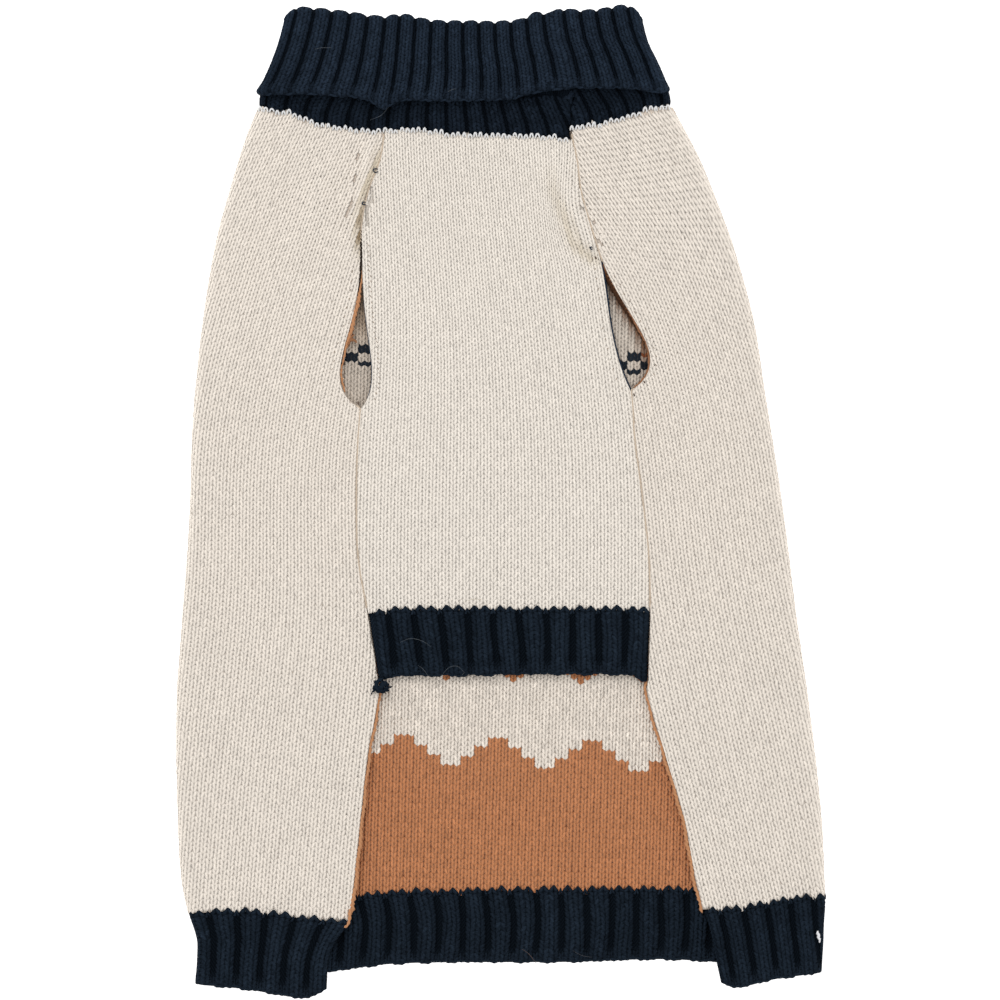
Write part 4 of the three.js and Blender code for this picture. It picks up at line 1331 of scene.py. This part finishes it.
def collar_columns():
    """Columns round the collar: zones, shares, shares of the width, and rib profiles."""
    steps = COLLAR_RIBS * RIB_STEPS + 1
    turn = np.linspace(0, SIDE_RIBS, 2 * RIB_STEPS)[1:-1]
    ribs = np.concatenate([np.linspace(0, COLLAR_RIBS, steps), COLLAR_RIBS + turn])
    zone, share, across = round_collar(ribs)
    back = np.linspace(0, 1, 40)
    left_zone, left_share, left_across = round_collar(turn - SIDE_RIBS)
    zone = np.concatenate([zone, ["back"] * len(back), left_zone])
    share = np.concatenate([share, back, left_share])
    across = np.concatenate([across, 1 - back, left_across])
    profile = np.concatenate([
        rib_profile(ribs, COLLAR_RAISED), 0 * back, rib_profile(turn - SIDE_RIBS, COLLAR_RAISED)
    ])
    return zone, share, across, profile


def pleats(across, down):
    """Lift of the turned layer where it buckles: narrow bells across, growing towards its free edge."""
    lift = 0.0
    for middle, reach, height in PLEATS:
        lift = lift + height * np.exp(-(((across - middle) / reach) ** 2)) * ease(down * 1.4 - 0.2)
    return lift


def collar_relief(profile, down):
    """Rise of the collar's ribs, with their valleys filled towards the free edge."""
    filled = COLLAR_FILL * ease((down - 0.80) / 0.14)
    return COLLAR_RISE * (profile + (1 - profile) * filled) - roll(down) * 1.9


def turned_place(across, down, depth, over, rise, zone, share):
    """Point of the collar's turned layer or of the fold: depth is how far it lies inside the outermost
    face, over how far it lies beyond the fold's middle line."""
    left = curve(COLLAR_SIDES, "down", "left", down) + depth
    right = curve(COLLAR_SIDES, "down", "right", down) - depth
    top = COLLAR_TOP - depth
    x, z = tube_points(left, right, depth, top, top, zone, share, 0.0, rise, COLLAR_RISE)
    front = zone == "front"
    outward_share = np.where(np.isin(zone, ["left_fold", "right_fold"]), np.sin(math.pi * share), 0)
    fold_y = collar_line(COLLAR_FOLD, across, front) - TWO_LAYERS / 2 - FOLD_DROP
    fold_y = fold_y - CORNER_DROP * np.abs(outward_share) ** 1.5
    y = lerp(fold_y, collar_line(COLLAR_EDGE, across, front), down) + over
    return np.stack([x, y, z + np.where(front, pleats(across, down), 0)], axis=-1)


def front_neck(x):
    """Neck seam of the top layer: the left flap's line, the belly piece's or the right flap's."""
    left, right = (float(curve(BODY, "y", column, NECK_ROW)) for column in ("left_seam", "right_seam"))
    flaps = np.where(x < left, curve(NECK_LEFT, "x", "y", x), curve(NECK_RIGHT, "x", "y", x))
    return np.where((x < left) | (x > right), flaps, curve(NECK_BELLY, "x", "y", x))


def standing_place(across, down, inset, rise, zone, share):
    """Point of the collar's standing layer, which slopes from under the turned one to the neck seam."""
    lowered = ease((down - STANDING_SLOPE) / (1 - STANDING_SLOPE))
    widened = ease((down - 0.62) / 0.38)
    inside = WALL + LAYER_GAP
    left = curve(COLLAR_SIDES, "down", "left", down) + inside
    right = curve(COLLAR_SIDES, "down", "right", down) - inside

    def at(y):
        lines = body_lines(y)
        return tube_points(
            lerp(left, lines["left_fold"] + STANDING_IN, widened),
            lerp(right, lines["right_fold"] - STANDING_IN, widened),
            lerp(inside, 0, lowered), lerp(COLLAR_TOP - inside, FRONT_TOP, lowered),
            lerp(COLLAR_TOP - inside, FOLD_TOP, lowered), zone, share, inset, rise,
        )

    y = np.full(np.broadcast(across, down).shape, NECK_ROW)
    for _ in range(MEETINGS):
        x = at(y)[0]
        y = np.where(zone == "front", front_neck(x), curve(NECK_BACK, "x", "y", x))
    x, z = at(y)
    fold_y = collar_line(COLLAR_FOLD, across, zone == "front") - TWO_LAYERS / 2
    return np.stack([x, lerp(fold_y, y + SEAM_GAP, down), z], axis=-1)


def standing_relief(profile, down):
    """Rise of the standing layer's ribs where they show."""
    return 0.8 * profile * ease((down - 0.55) / 0.2) * ease((1.0 - down) / 0.06 + 0.35)


def collar_wall():
    """Closed wall of the collar: rings from the turned edge up its outer face, over the fold, down the
    standing layer's inner face, and back by the faces between the two layers."""
    zone, share, across, profile = collar_columns()
    bend = TWO_LAYERS / 2
    rings = []
    shades = []
    full = 1 + 0 * across

    def add(points, shade):
        rings.append(points)
        shades.append(shade)

    for down in (1.0, 0.997, 0.985, 0.97, 0.95, 0.92, 0.88, 0.84, 0.8, 0.6, 0.4, 0.2, 0.08):
        rise = collar_relief(profile, down)
        filled = COLLAR_FILL * float(ease((down - 0.80) / 0.14))
        scallop = 0.7 * (1 - profile) * down**6
        shade = profile + (1 - profile) * filled
        add(turned_place(across, down * full, RIB_GROUND * full, scallop, rise, zone, share), shade)
    for turned in np.linspace(0, 1, 9):
        radius = bend - RIB_GROUND * (1 - turned)
        depth = bend - radius * math.cos(math.pi * turned)
        rise = COLLAR_RISE * profile * float(ease(1 - turned))
        over = (radius + FOLD_BULGE * profile) * math.sin(math.pi * turned)
        add(turned_place(across, 0 * full, depth * full, over, rise, zone, share), profile)
    for down in (0.3, 0.5, 0.7, 0.9, 1.0):
        add(standing_place(across, down * full, WALL * full, 0 * full, zone, share), 0.4 * full)
    # The standing layer's outer face is painted darker: painted shade under the turned edge
    for down in (1.0, 0.98, 0.95, 0.92, 0.89, 0.85, 0.8, 0.7, 0.5):
        rise = standing_relief(profile, down)
        add(standing_place(across, down * full, RIB_GROUND * full, rise, zone, share), 0.35 * profile - 0.25)
    for turned in (1.0, 0.5, 0.0):
        radius = LAYER_GAP / 2
        depth = bend - radius * math.cos(math.pi * turned)
        over = radius * math.sin(math.pi * turned)
        add(turned_place(across, 0 * full, depth * full, over, 0 * full, zone, share), 0 * full)
    for down in (0.4, 0.9, 1.0):
        scallop = 0.7 * (1 - profile) * down**6
        add(turned_place(across, down * full, WALL * full, scallop, 0 * full, zone, share), 0 * full)
    grid = np.array(rings)
    rows, columns = grid.shape[:2]
    r, c = np.meshgrid(np.arange(rows), np.arange(columns), indexing="ij")
    next_r = (r + 1) % rows
    next_c = (c + 1) % columns
    quads = np.stack([r * columns + c, r * columns + next_c, next_r * columns + next_c, next_r * columns + c], -1)
    points = grid.reshape(-1, 3)
    quads = outward(points, quads.reshape(-1, 4))
    places = np.stack([np.broadcast_to(across * COLLAR_RIBS * RIB_WALES, (rows, columns)), r * 1.0], -1).reshape(-1, 2)
    paint = rib_paint(np.array(shades), NAVY).reshape(-1, 3)
    maps = [("knit", places[quads].reshape(-1, 2))]
    return mesh_piece("collar_cloth", points, quads, maps=maps, paint=paint, material=NAVY_CLOTH)



def collar_slot(slot):
    """Place across a collar repeat for a place in wales: two raised wales and a narrow valley."""
    return np.interp(slot, [0.0, 2.0, 3.0], [0.0, COLLAR_RAISED, 1.0])


def collar_lattice(first, last, courses):
    """Stitches round the collar as wales and courses, on the two raised wales of each rib and on every
    wale near the free edge."""
    rib, slot, course = np.meshgrid(
        np.arange(-2, COLLAR_RIBS + 2), np.arange(3), np.arange(first, last), indexing="ij"
    )
    shown = (slot < 2) | ((course >= courses - 3) & (last == courses))
    wale = (rib * 3 + slot)[shown] + 0.5
    return wale, course[shown].astype(float)


def collar_rib(wale):
    """Place in ribs for a place in wales."""
    return np.clip(np.floor(wale / 3) + collar_slot(np.mod(wale, 3)), 0.1 - SIDE_RIBS, COLLAR_RIBS + SIDE_RIBS - 0.1)


def collar_stitches():
    """Stitches over the collar's turned layer and its fold. Their feet point away from the neck seam, as
    the layer is turned over."""
    courses = int(COLLAR_HEIGHT / RIB_COURSE)
    wale, course = collar_lattice(-3, courses, courses)
    bend = TWO_LAYERS / 2

    def surface(wale, course, lift):
        rib = collar_rib(wale)
        zone, share, across = round_collar(rib)
        profile = rib_profile(rib, COLLAR_RAISED)
        length = (course + 0.3) / courses * COLLAR_HEIGHT
        down = np.clip(length / COLLAR_HEIGHT, 0, 1)
        angle = np.clip(-length / bend, 0, math.pi)
        turned = angle > 0
        radius = bend + lift + FOLD_BULGE * profile * np.sin(angle)
        depth = np.where(turned, bend - radius * np.cos(angle), 0)
        scallop = 0.7 * (1 - profile) * down**6
        over = np.where(turned, radius * np.sin(angle), scallop)
        rise = np.where(
            turned, COLLAR_RISE * profile * ease(1 - angle / math.pi), collar_relief(profile, down) + lift
        )
        return turned_place(across, down, depth, over, rise, zone, share)

    colour = leg_colour(wale, NAVY, 0.3 + 0 * wale)
    return stitch_piece("collar_stitches", wale, course, surface, colour, NAVY_YARN, True, 0.12)


def standing_stitches():
    """Stitches of the strip of the standing layer that shows under the turned edge, in a darker navy: painted shade
    under that edge.
    """
    courses = 26
    wale, course = collar_lattice(17, courses, -1)

    def surface(wale, course, lift):
        rib = collar_rib(wale)
        zone, share, across = round_collar(rib)
        down = np.clip((course + 0.6) / courses, 0, 1)
        rise = standing_relief(rib_profile(rib, COLLAR_RAISED), down) + lift
        return standing_place(across, down, 0.0, rise, zone, share)

    # Painted shade: the standing layer's navy is darker under the turned edge
    colour = leg_colour(wale, np.array(NAVY) * 0.58, 0.3 + 0 * wale)
    return stitch_piece("standing_stitches", wale, course, surface, colour, NAVY_YARN, False, 0.16)


collar_cloth = collar_wall()
collar_knit = [collar_stitches(), standing_stitches()]


# Cords: linking seams, rolled edges and loose ends

CORD_SIDES = 8
LOOP_PITCH = 2.60
LOOP_WAVE = 8.7  # how far apart the groups of loop heads rise, one group for each rib behind them


def cord_piece(name, cords, material, step=0.45):
    """Cords as closed tubes. Each cord is its path, its radii at even steps along it, its pitch, relief and
    colour. Its surface swells by the relief along a two-start helix of that pitch, so it reads as two plied
    yarns, and both of its ends taper."""
    all_points, all_quads, all_ends, all_places, end_places, all_paint = [], [], [], [], [], []
    side = math.ceil(math.sqrt(len(cords)))
    start = 0
    for number, (path, radii, pitch, relief, colour) in enumerate(cords):
        path = np.asarray(path, float)
        along = np.concatenate([[0], np.cumsum(np.linalg.norm(np.diff(path, axis=0), axis=1))])
        count = max(int(along[-1] / step), 3)
        at = np.linspace(0, along[-1], count + 1)
        radius = np.interp(at / along[-1], np.linspace(0, 1, len(radii)), radii)[:, None]
        line = np.stack([np.interp(at, along, path[:, axis]) for axis in range(3)], axis=-1)
        ahead = np.gradient(line, axis=0)
        ahead /= np.linalg.norm(ahead, axis=1, keepdims=True)
        sideways = np.cross(ahead, [0.0, 0.0, 1.0]) + [1e-9, 0, 0]
        sideways /= np.linalg.norm(sideways, axis=1, keepdims=True)
        upward = np.cross(sideways, ahead)
        turn = np.arange(CORD_SIDES) / CORD_SIDES * 2 * math.pi
        swell = np.cos(2 * turn - 2 * math.pi * at[:, None] / pitch)
        taper = np.sqrt(np.clip(np.minimum(at, along[-1] - at)[:, None] / (1.6 * radius) + 0.04, 0, 1))
        reach = radius * taper * (1 + relief * swell)
        ring = reach[..., None] * (
            np.cos(turn)[None, :, None] * sideways[:, None] + np.sin(turn)[None, :, None] * upward[:, None]
        )
        points = (line[:, None] + ring).reshape(-1, 3)
        r, c = np.meshgrid(np.arange(count), np.arange(CORD_SIDES), indexing="ij")
        next_c = (c + 1) % CORD_SIDES
        quads = np.stack([
            (r + 1) * CORD_SIDES + c, (r + 1) * CORD_SIDES + next_c, r * CORD_SIDES + next_c, r * CORD_SIDES + c
        ], -1).reshape(-1, 4)
        fan = np.arange(1, CORD_SIDES - 1)
        last = count * CORD_SIDES
        ends = np.concatenate([
            np.stack([0 * fan, fan, fan + 1], -1), np.stack([last + 0 * fan, last + fan + 1, last + fan], -1)
        ])
        cell = np.array([number % side, number // side]) / side
        u = np.stack([r + 1, r + 1, r, r], -1) / count
        v = np.stack([c, c + 1, c + 1, c], -1) / CORD_SIDES * 0.85
        places = cell + np.stack([u, v], -1).reshape(-1, 2) * 0.96 / side
        corner = np.array([[0, 0.9], [0.06, 0.9], [0.03, 0.98]]) + np.arange(len(ends))[:, None, None] * [0.07, 0]
        all_points.append(points)
        all_quads.append(quads + start)
        all_ends.append(ends + start)
        all_places.append(places)
        end_places.append((cell + corner.reshape(-1, 2) * 0.96 / side))
        # Painted shade: the colour is darker in the grooves between the two plies
        shade = 0.78 + 0.22 * (swell * 0.5 + 0.5)
        all_paint.append((np.array(colour) * shade[..., None]).reshape(-1, 3))
        start += len(points)
    places = np.concatenate(all_places + end_places)
    return mesh_piece(
        name, np.concatenate(all_points), np.concatenate(all_quads), np.concatenate(all_ends),
        [("OFBake", places)], np.concatenate(all_paint), material,
    )


def edge_path(key, start, end, aside, lift, count=120):
    """Path along one of the body's edge lines from one place along the length to another, moved aside and
    lifted over the cloth's face."""
    y = np.linspace(start, end, count)
    lines = body_lines(y)
    x = lines[key] + aside
    return np.stack([x, y, front_height(lines, x, y) + lift], axis=-1)


def on_top(x, y, lift):
    """Points over the top layer's face at places given as two rows, lifted out of it."""
    x = np.asarray(x, float)
    y = np.asarray(y, float)
    return np.stack([x, y, front_height(body_lines(y), x, y) + lift], axis=-1)


def smooth_path(places, count=40):
    """Path through a few measured places by the same cubic pieces as the tables."""
    places = np.asarray(places, float)
    rows = dict(t=np.linspace(0, 1, len(places)))
    at = np.linspace(0, 1, count)
    return np.stack([curve({**rows, "v": places[:, axis]}, "t", "v", at) for axis in range(places.shape[1])], axis=-1)


def loop_heads():
    """Row of loop heads where the body's knit ends at the neck seam: each is an arch over one wale that
    stands against the collar, and the row rises and falls with the ribs behind it."""
    cords = []
    turn = np.linspace(0, math.pi, 14)
    for middle in np.arange(-110.6, 78.6, LOOP_PITCH):
        jitter = rng.normal(0, 0.12, 4)
        wave = np.cos(2 * math.pi * (middle + 2.0) / LOOP_WAVE)
        half = 0.74 + jitter[0]
        x = middle + jitter[1] + half * np.cos(turn)
        base = float(front_neck(middle)) - 1.2 + 0.45 * wave + jitter[2]
        y = base + (2.1 + 1.5 * jitter[3]) * np.sin(turn)
        lines = body_lines(np.full_like(x, base))
        held = np.clip(x, lines["left_fold"] + 1.2, lines["right_fold"] - 1.2)
        lift = 0.30 + 0.45 * np.sin(turn)
        # Painted highlight: the loop heads take a whiter colour than the cream knit
        cords.append((over_fold(lines, held, y, lift), (0.32, 0.42, 0.46, 0.42, 0.32), 2.2, 0.10, LOOP_HIGHLIGHT))
    return cord_piece("neck_loops", cords, CREAM_YARN)


def seam_cords():
    """Linking seams: a fine cord down each seam between the belly piece and a flap, above and below the leg
    openings, lying in the gap between the two pieces."""
    cords = []
    for side, sign in (("left", -1), ("right", 1)):
        opening = LEG_OPENINGS[side]
        for start, end in ((169.0, opening["top"] - 8), (opening["bottom"] + 1, BELLY_BAND_TOP + 1)):
            path = edge_path(f"{side}_flap", start, end, -sign * SEAM_GAP / 2, -0.12)
            cords.append((path, (0.36, 0.36), 1.4, 0.35, SEAM_TAN))
    return cord_piece("seam_cords", cords, CREAM_YARN)


def rolled_edges():
    """Camel edges rolled over at the flaps' free edges below the belly band and at the leg openings. Below
    the left free edge the yarn ends in a short tail."""
    cords = []
    slits = dict(
        left=((0.15, 0.2, 0.45, 0.7, 0.95, 0.85, 1.0, 0.8, 0.5, 0.35, 0.5, 0.3), CAMEL_EDGE),
        right=((0.2, 0.35, 0.3, 0.5, 0.35, 0.55, 0.4), CAMEL_SHADE),
    )
    free = dict(left=(0.5, 0.7, 0.8, 0.9, 1.05), right=(0.5, 0.7, 0.9, 0.9, 0.7))
    edge_end = dict(left=7.0, right=0.8)
    for side, sign in (("left", 1), ("right", -1)):
        opening = LEG_OPENINGS[side]
        y = np.linspace(BELLY_BAND_BOTTOM + 1, -189.5, 160)
        lines = body_lines(y)
        x = lines[f"{side}_flap"] + sign * (0.65 + 0.25 * np.sin(y * 0.35) + 0.15 * np.sin(y * 1.3))
        path = np.stack([x, y, front_height(lines, x, y) - 0.75], axis=-1)
        cords.append((path, free[side], 2.4, 0.28, CAMEL_EDGE))
        radii, colour = slits[side]
        y = np.linspace(opening["top"] - 9, opening["bottom"] + edge_end[side], 120)
        lines = body_lines(y)
        x = lines[f"{side}_flap"] + sign * (0.75 * max(radii) + 0.18 * np.sin(y * 0.5) + 0.12 * np.sin(y * 1.7))
        path = np.stack([x, y, front_height(lines, x, y) - 0.75], axis=-1)
        cords.append((path, radii, 2.2, 0.30, colour))
    tail = smooth_path([(-69.4, -187.5, 6.4), (-69.6, -192.0, 7.4), (-70.6, -195.0, 7.5), (-72.2, -196.0, 7.2)])
    cords.append((tail, (0.8, 0.75, 0.6, 0.5), 2.2, 0.28, CAMEL_EDGE))
    for tuft in (
        [(-72.0, 69.5), (-70.2, 72.5), (-68.8, 75.4), (-67.2, 76.6)],
        [(-69.9, 73.4), (-68.0, 74.2), (-66.2, 72.8)],
    ):
        path = smooth_path([(x, y, 4.4) for x, y in tuft])
        cords.append((path, (0.5, 0.75, 0.6, 0.3), 1.8, 0.35, CAMEL_SHADE))
    return cord_piece("rolled_edges", cords, CREAM_YARN)


def mark(x, y, run, rise, lift=0.08, radius=0.19):
    """Short dark dash over the top layer, from a place along a run and a rise."""
    share = np.linspace(0, 1, 4)
    return on_top(x + run * share, y + rise * share, lift), (radius, radius)


def dark_yarns_and_shadows():
    """Dark yarns and painted shadows: one carried along each leg opening on the belly piece's edge, painted
    shadow as a near-black cord along the left flap's edge and a dark brown one along the right flap's edge in
    the tops of the leg openings, a navy cord under the back hem seam, tiny loops caught in the seams, the small
    slanted gaps where stitches were moved over beside the openings, drawn as soft brown dashes of painted
    shade, and four larger dark dashes."""
    cords = []
    for key, start, end, aside, radii, shade in (
        ("belly_right", 119, 46, 0.30, (0.2, 0.45, 0.5, 0.45, 0.45, 0.4), 1.6),
        ("belly_left", 92, 47, -0.15, (0.10, 0.20, 0.20, 0.15), 3.0),
    ):
        cords.append((edge_path(key, start, end, aside, -0.8), radii, 1.8, 0.2, tuple(np.array(NAVY) * shade)))
    # Painted shadow: a near-black cord in the top of the left opening and a dark brown one along the right flap's
    # edge, where the openings lie in shade
    for key, start, end, aside, lift, radii, colour in (
        ("left_flap", 131, 94, 0.15, -0.30, (0.15, 0.5, 0.62, 0.6, 0.5, 0.3), (0.030, 0.021, 0.016)),
        ("right_flap", 114, 74, -0.9, -1.3, (0.3, 0.9, 1.2, 1.1, 0.8, 0.4), (0.070, 0.033, 0.018)),
    ):
        cords.append((edge_path(key, start, end, aside, lift), radii, 1.9, 0.25, colour))
    x = np.linspace(-139, 144, 200)
    seam = np.column_stack([x, top_of(HEM_SEAM["back"], x) - SEAM_GAP / 2, np.full(len(x), 1.35)])
    cords.append((seam, (0.5, 0.5), 2.0, 0.2, BAND_NAVY))
    turn = np.linspace(0.4, 2 * math.pi - 0.4, 16)
    for x, y, size in ((-57.6, 152.0, 1.1), (-63.0, 136.8, 0.8), (41.6, 116.2, 0.7)):
        path = on_top(x + size * np.cos(turn), y + 0.8 * size * np.sin(turn), 0.45)
        cords.append((path, (0.24, 0.24), 1.4, 0.2, tuple(np.array(NAVY) * 1.8)))
    places = []
    for y in np.arange(118.0, 47.0, -2.35):
        lines = body_lines(y)
        places.append((float(lines["belly_left"]) + 2.9, y, 0.9, -1.1))
    for y in np.arange(106.0, 58.0, -4.1):
        lines = body_lines(y)
        places.append((float(lines["left_flap"]) - 3.4, y, -0.7, -1.2))
    for y in np.arange(104.0, 56.0, -4.1):
        lines = body_lines(y)
        places.append((float(lines["right_flap"]) + 2.6, y, 0.8, -1.2))
    for y in np.arange(112.0, 50.0, -4.6):
        lines = body_lines(y)
        places.append((float(lines["belly_right"]) - 3.2, y, -0.6, -1.1))
    # Painted shade: each small hole beside an opening is drawn as a soft brown dash
    for x, y, run, rise in places:
        path, radii = mark(x + rng.normal(0, 0.2), y + rng.normal(0, 0.25), run, rise)
        cords.append((path, radii, 2.0, 0.0, HOLE_SHADE_BROWN))
    for x, y, run, rise in ((43.2, 112.6, 0.8, -1.4), (65.6, 55.4, 0.7, -1.3), (61.0, 49.6, 0.5, -1.5), (-65.8, 46.0, 0.4, -2.0)):
        path, radii = mark(x, y, run, rise, 0.2, 0.36)
        cords.append((path, radii, 2.0, 0.0, MARK_BROWN))
    return cord_piece("dark_yarns_and_shadows", cords, NAVY_YARN)


def cast_off_edges():
    """Chain of cast-off stitches along the lower edge of each band and the turned edge of the collar."""
    cords = []
    places = [(belly_band_place, "belly", 0.55)] + [(HEM_PLACES[side], side, 0.75) for side in HEM_PLACES]
    for place, side, rise in places:
        first, last = RIB_RANGES[side]
        rib = np.linspace(first + 0.02, last, 260)
        drift = 0.22 * np.sin(rib * 5.1) + 0.16 * np.sin(rib * 11.7 + 1.0)
        path = place(rib, np.full_like(rib, 0.985), 0.0, rise + 0 * rib)
        path[:, 1] += drift
        cords.append((path, (0.7, 0.85, 0.75, 0.9, 0.7), 3.1, 0.26, BAND_NAVY))
    rib = np.linspace(-0.6, COLLAR_RIBS + 0.6, 400)
    zone, share, across = round_collar(rib)
    path = turned_place(across, np.full_like(rib, 0.975), 0.5 + 0 * rib, 0 * rib, 0 * rib, zone, share)
    path[:, 1] += 0.2 * np.sin(rib * 5.3) + 0.15 * np.sin(rib * 12.1)
    cords.append((path, (0.8, 0.85, 0.8), 3.1, 0.24, NAVY))
    return cord_piece("cast_off_edges", cords, NAVY_YARN, 0.62)


def loose_ends():
    """Loose ends: the knot at the belly band's lower left corner with its ends."""
    knot = []
    for places, radii in (
        ([(-58.6, -82.0), (-61.2, -84.4), (-60.4, -88.0), (-57.6, -87.4), (-57.9, -84.6), (-60.2, -85.4)], (0.8, 1.15, 1.25, 1.1)),
        ([(-57.2, -83.6), (-59.6, -86.6), (-61.6, -87.2), (-62.4, -85.8)], (0.9, 1.2, 0.9)),
        ([(-58.4, -86.8), (-56.4, -86.6), (-54.9, -85.9)], (0.6, 0.45, 0.2)),
        ([(-61.4, -87.6), (-62.8, -88.8), (-63.2, -90.2)], (0.5, 0.35, 0.15)),
        ([(-58.0, -87.2), (-58.4, -88.6), (-57.6, -89.4)], (0.5, 0.4, 0.15)),
        ([(-60.2, -84.0), (-62.6, -83.4)], (0.4, 0.15)),
    ):
        flat = (smooth_path(places) + [59.5, 85.2]) * [1.2, 0.95] + [-55.2, -84.4]
        heights = 6.2 + 0.7 * np.sin(np.linspace(0, 7, len(flat)))
        knot.append((np.column_stack([flat, heights]), radii, 1.9, 0.28, BAND_NAVY))
    return cord_piece("knot", knot, NAVY_YARN)


def stray_fibres():
    """Fine light fibres that stand off the navy ribs, and two on the belly piece."""
    cords = []
    for places, height, colour in (
        ([(-46.5, -65.0), (-41.5, -63.2), (-36.0, -64.4), (-32.0, -67.2)], 7.4, FIBRE),
        ([(-38.0, -75.5), (-35.5, -77.6), (-33.2, -81.0)], 7.2, FIBRE),
        ([(-27.5, -80.6), (-24.0, -76.6), (-20.0, -76.0), (-17.0, -78.6)], 7.2, FIBRE),
        ([(-16.6, -78.4), (-18.0, -80.2)], 7.2, FIBRE),
        ([(-85.5, 207.2), (-82.0, 207.8), (-77.4, 207.8)], 13.4, FIBRE),
        ([(-60.2, 175.0), (-55.0, 177.2), (-51.4, 181.4)], 8.6, FIBRE),
        ([(-24.4, 187.6), (-22.0, 188.8), (-20.2, 189.0)], 13.0, FIBRE),
        ([(9.5, -206.0), (13.0, -208.6), (17.6, -214.6)], 4.6, (0.16, 0.11, 0.09)),
        ([(33.0, -206.8), (37.0, -209.0), (42.0, -210.0)], 4.6, (0.08, 0.08, 0.09)),
        ([(-17.6, -46.6), (-13.0, -45.2), (-8.8, -45.4)], 5.7, (0.34, 0.27, 0.14)),
    ):
        flat = smooth_path(places)
        cords.append((np.column_stack([flat, np.full(len(flat), height)]), (0.04, 0.07, 0.04), 2.0, 0.0, colour))
    zigzag = [(145.7, -197.4), (145.3, -198.6), (146.1, -199.3), (145.7, -200.6), (146.5, -201.4), (146.3, -203.0)]
    path = np.array([(x, y, 8.0) for x, y in zigzag])
    cords.append((path, (0.5, 0.65, 0.55, 0.3), 1.5, 0.2, (0.9, 0.9, 0.92)))
    return cord_piece("stray_fibres", cords, CREAM_YARN)


neck_loops = loop_heads()
trims = [seam_cords(), rolled_edges(), dark_yarns_and_shadows(), stray_fibres()]
cast_off = cast_off_edges()
knot = loose_ends()


# Riding and replacing

for piece, node, slot in (
    (back_cloth, "back_panel", "knit_back"),
    (belly_cloth, "belly_panel", "knit_belly"),
    (collar_cloth, "collar", "rib_knit"),
    (belly_band_cloth, "belly_hem_band", "rib_knit"),
    (hem_band_cloth, "back_hem_band", "rib_knit"),
):
    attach(piece, "root")
    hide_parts(node)

for pieces, slot in (
    ([left_stitches, right_stitches, inner_stitches, neck_loops, *trims], "knit_back"),
    ([front_stitches], "knit_belly"),
    ([*belly_band_knit, *hem_knit, *collar_knit, cast_off, knot], "rib_knit"),
):
    for piece in pieces:
        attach(piece, "root")


# Floor, light and camera

def floor_piece():
    """Plain pale floor under the garment."""
    points = np.array([[-1500, -1500, 0], [1500, -1500, 0], [1500, 1500, 0], [-1500, 1500, 0]], float)
    material, _, surface = shader("pale floor", 0.9, 0.0, 0.5, 0.0)
    surface.inputs["Base Color"].default_value = (0.95, 0.95, 0.95, 1)
    surface.inputs["Emission Color"].default_value = (1, 1, 1, 1)
    surface.inputs["Emission Strength"].default_value = 0.80
    floor = mesh_piece("floor", points - [0, 0, 0.05], np.array([[0, 1, 2, 3]]), material=material)


def area_light(name, place, size, power):
    """Square light at a place in metres, turned to the garment's middle."""
    data = bpy.data.lights.new(name, "AREA")
    data.size = size
    data.energy = power
    light = bpy.data.objects.new(name, data)
    light.location = place
    direction = -np.array(place)
    light.rotation_euler = (
        math.atan2(math.hypot(direction[0], direction[1]), -direction[2]),
        0,
        math.atan2(direction[1], direction[0]) - math.pi / 2,
    )
    bpy.context.scene.collection.objects.link(light)


PIXEL = 0.46  # millimetres of the garment to a pixel of the view
VIEW_PIXELS = 1000
LENS = 200.0
SENSOR = 36.0
VIEW_PLANE = 5.0


def camera_above():
    """Long lens straight above the garment, with the view's middle just off the garment's own."""
    data = bpy.data.cameras.new("camera")
    data.lens = LENS
    data.sensor_width = SENSOR
    data.clip_end = 20
    camera = bpy.data.objects.new("camera", data)
    height = PIXEL * VIEW_PIXELS * LENS / SENSOR + VIEW_PLANE
    camera.location = (-PIXEL * MM, PIXEL * MM, height * MM)
    bpy.context.scene.collection.objects.link(camera)
    bpy.context.scene.camera = camera


floor_piece()
area_light("key", (-0.7, 1.4, 1.5), 1.2, 17)
area_light("fill", (1.3, -0.6, 1.6), 1.6, 5)
world = bpy.data.worlds.new("studio")
world.use_nodes = True
world.node_tree.nodes["Background"].inputs["Color"].default_value = (1, 1, 1, 1)
world.node_tree.nodes["Background"].inputs["Strength"].default_value = 0.735
bpy.context.scene.world = world
bpy.context.scene.view_settings.view_transform = "Standard"
camera_above()
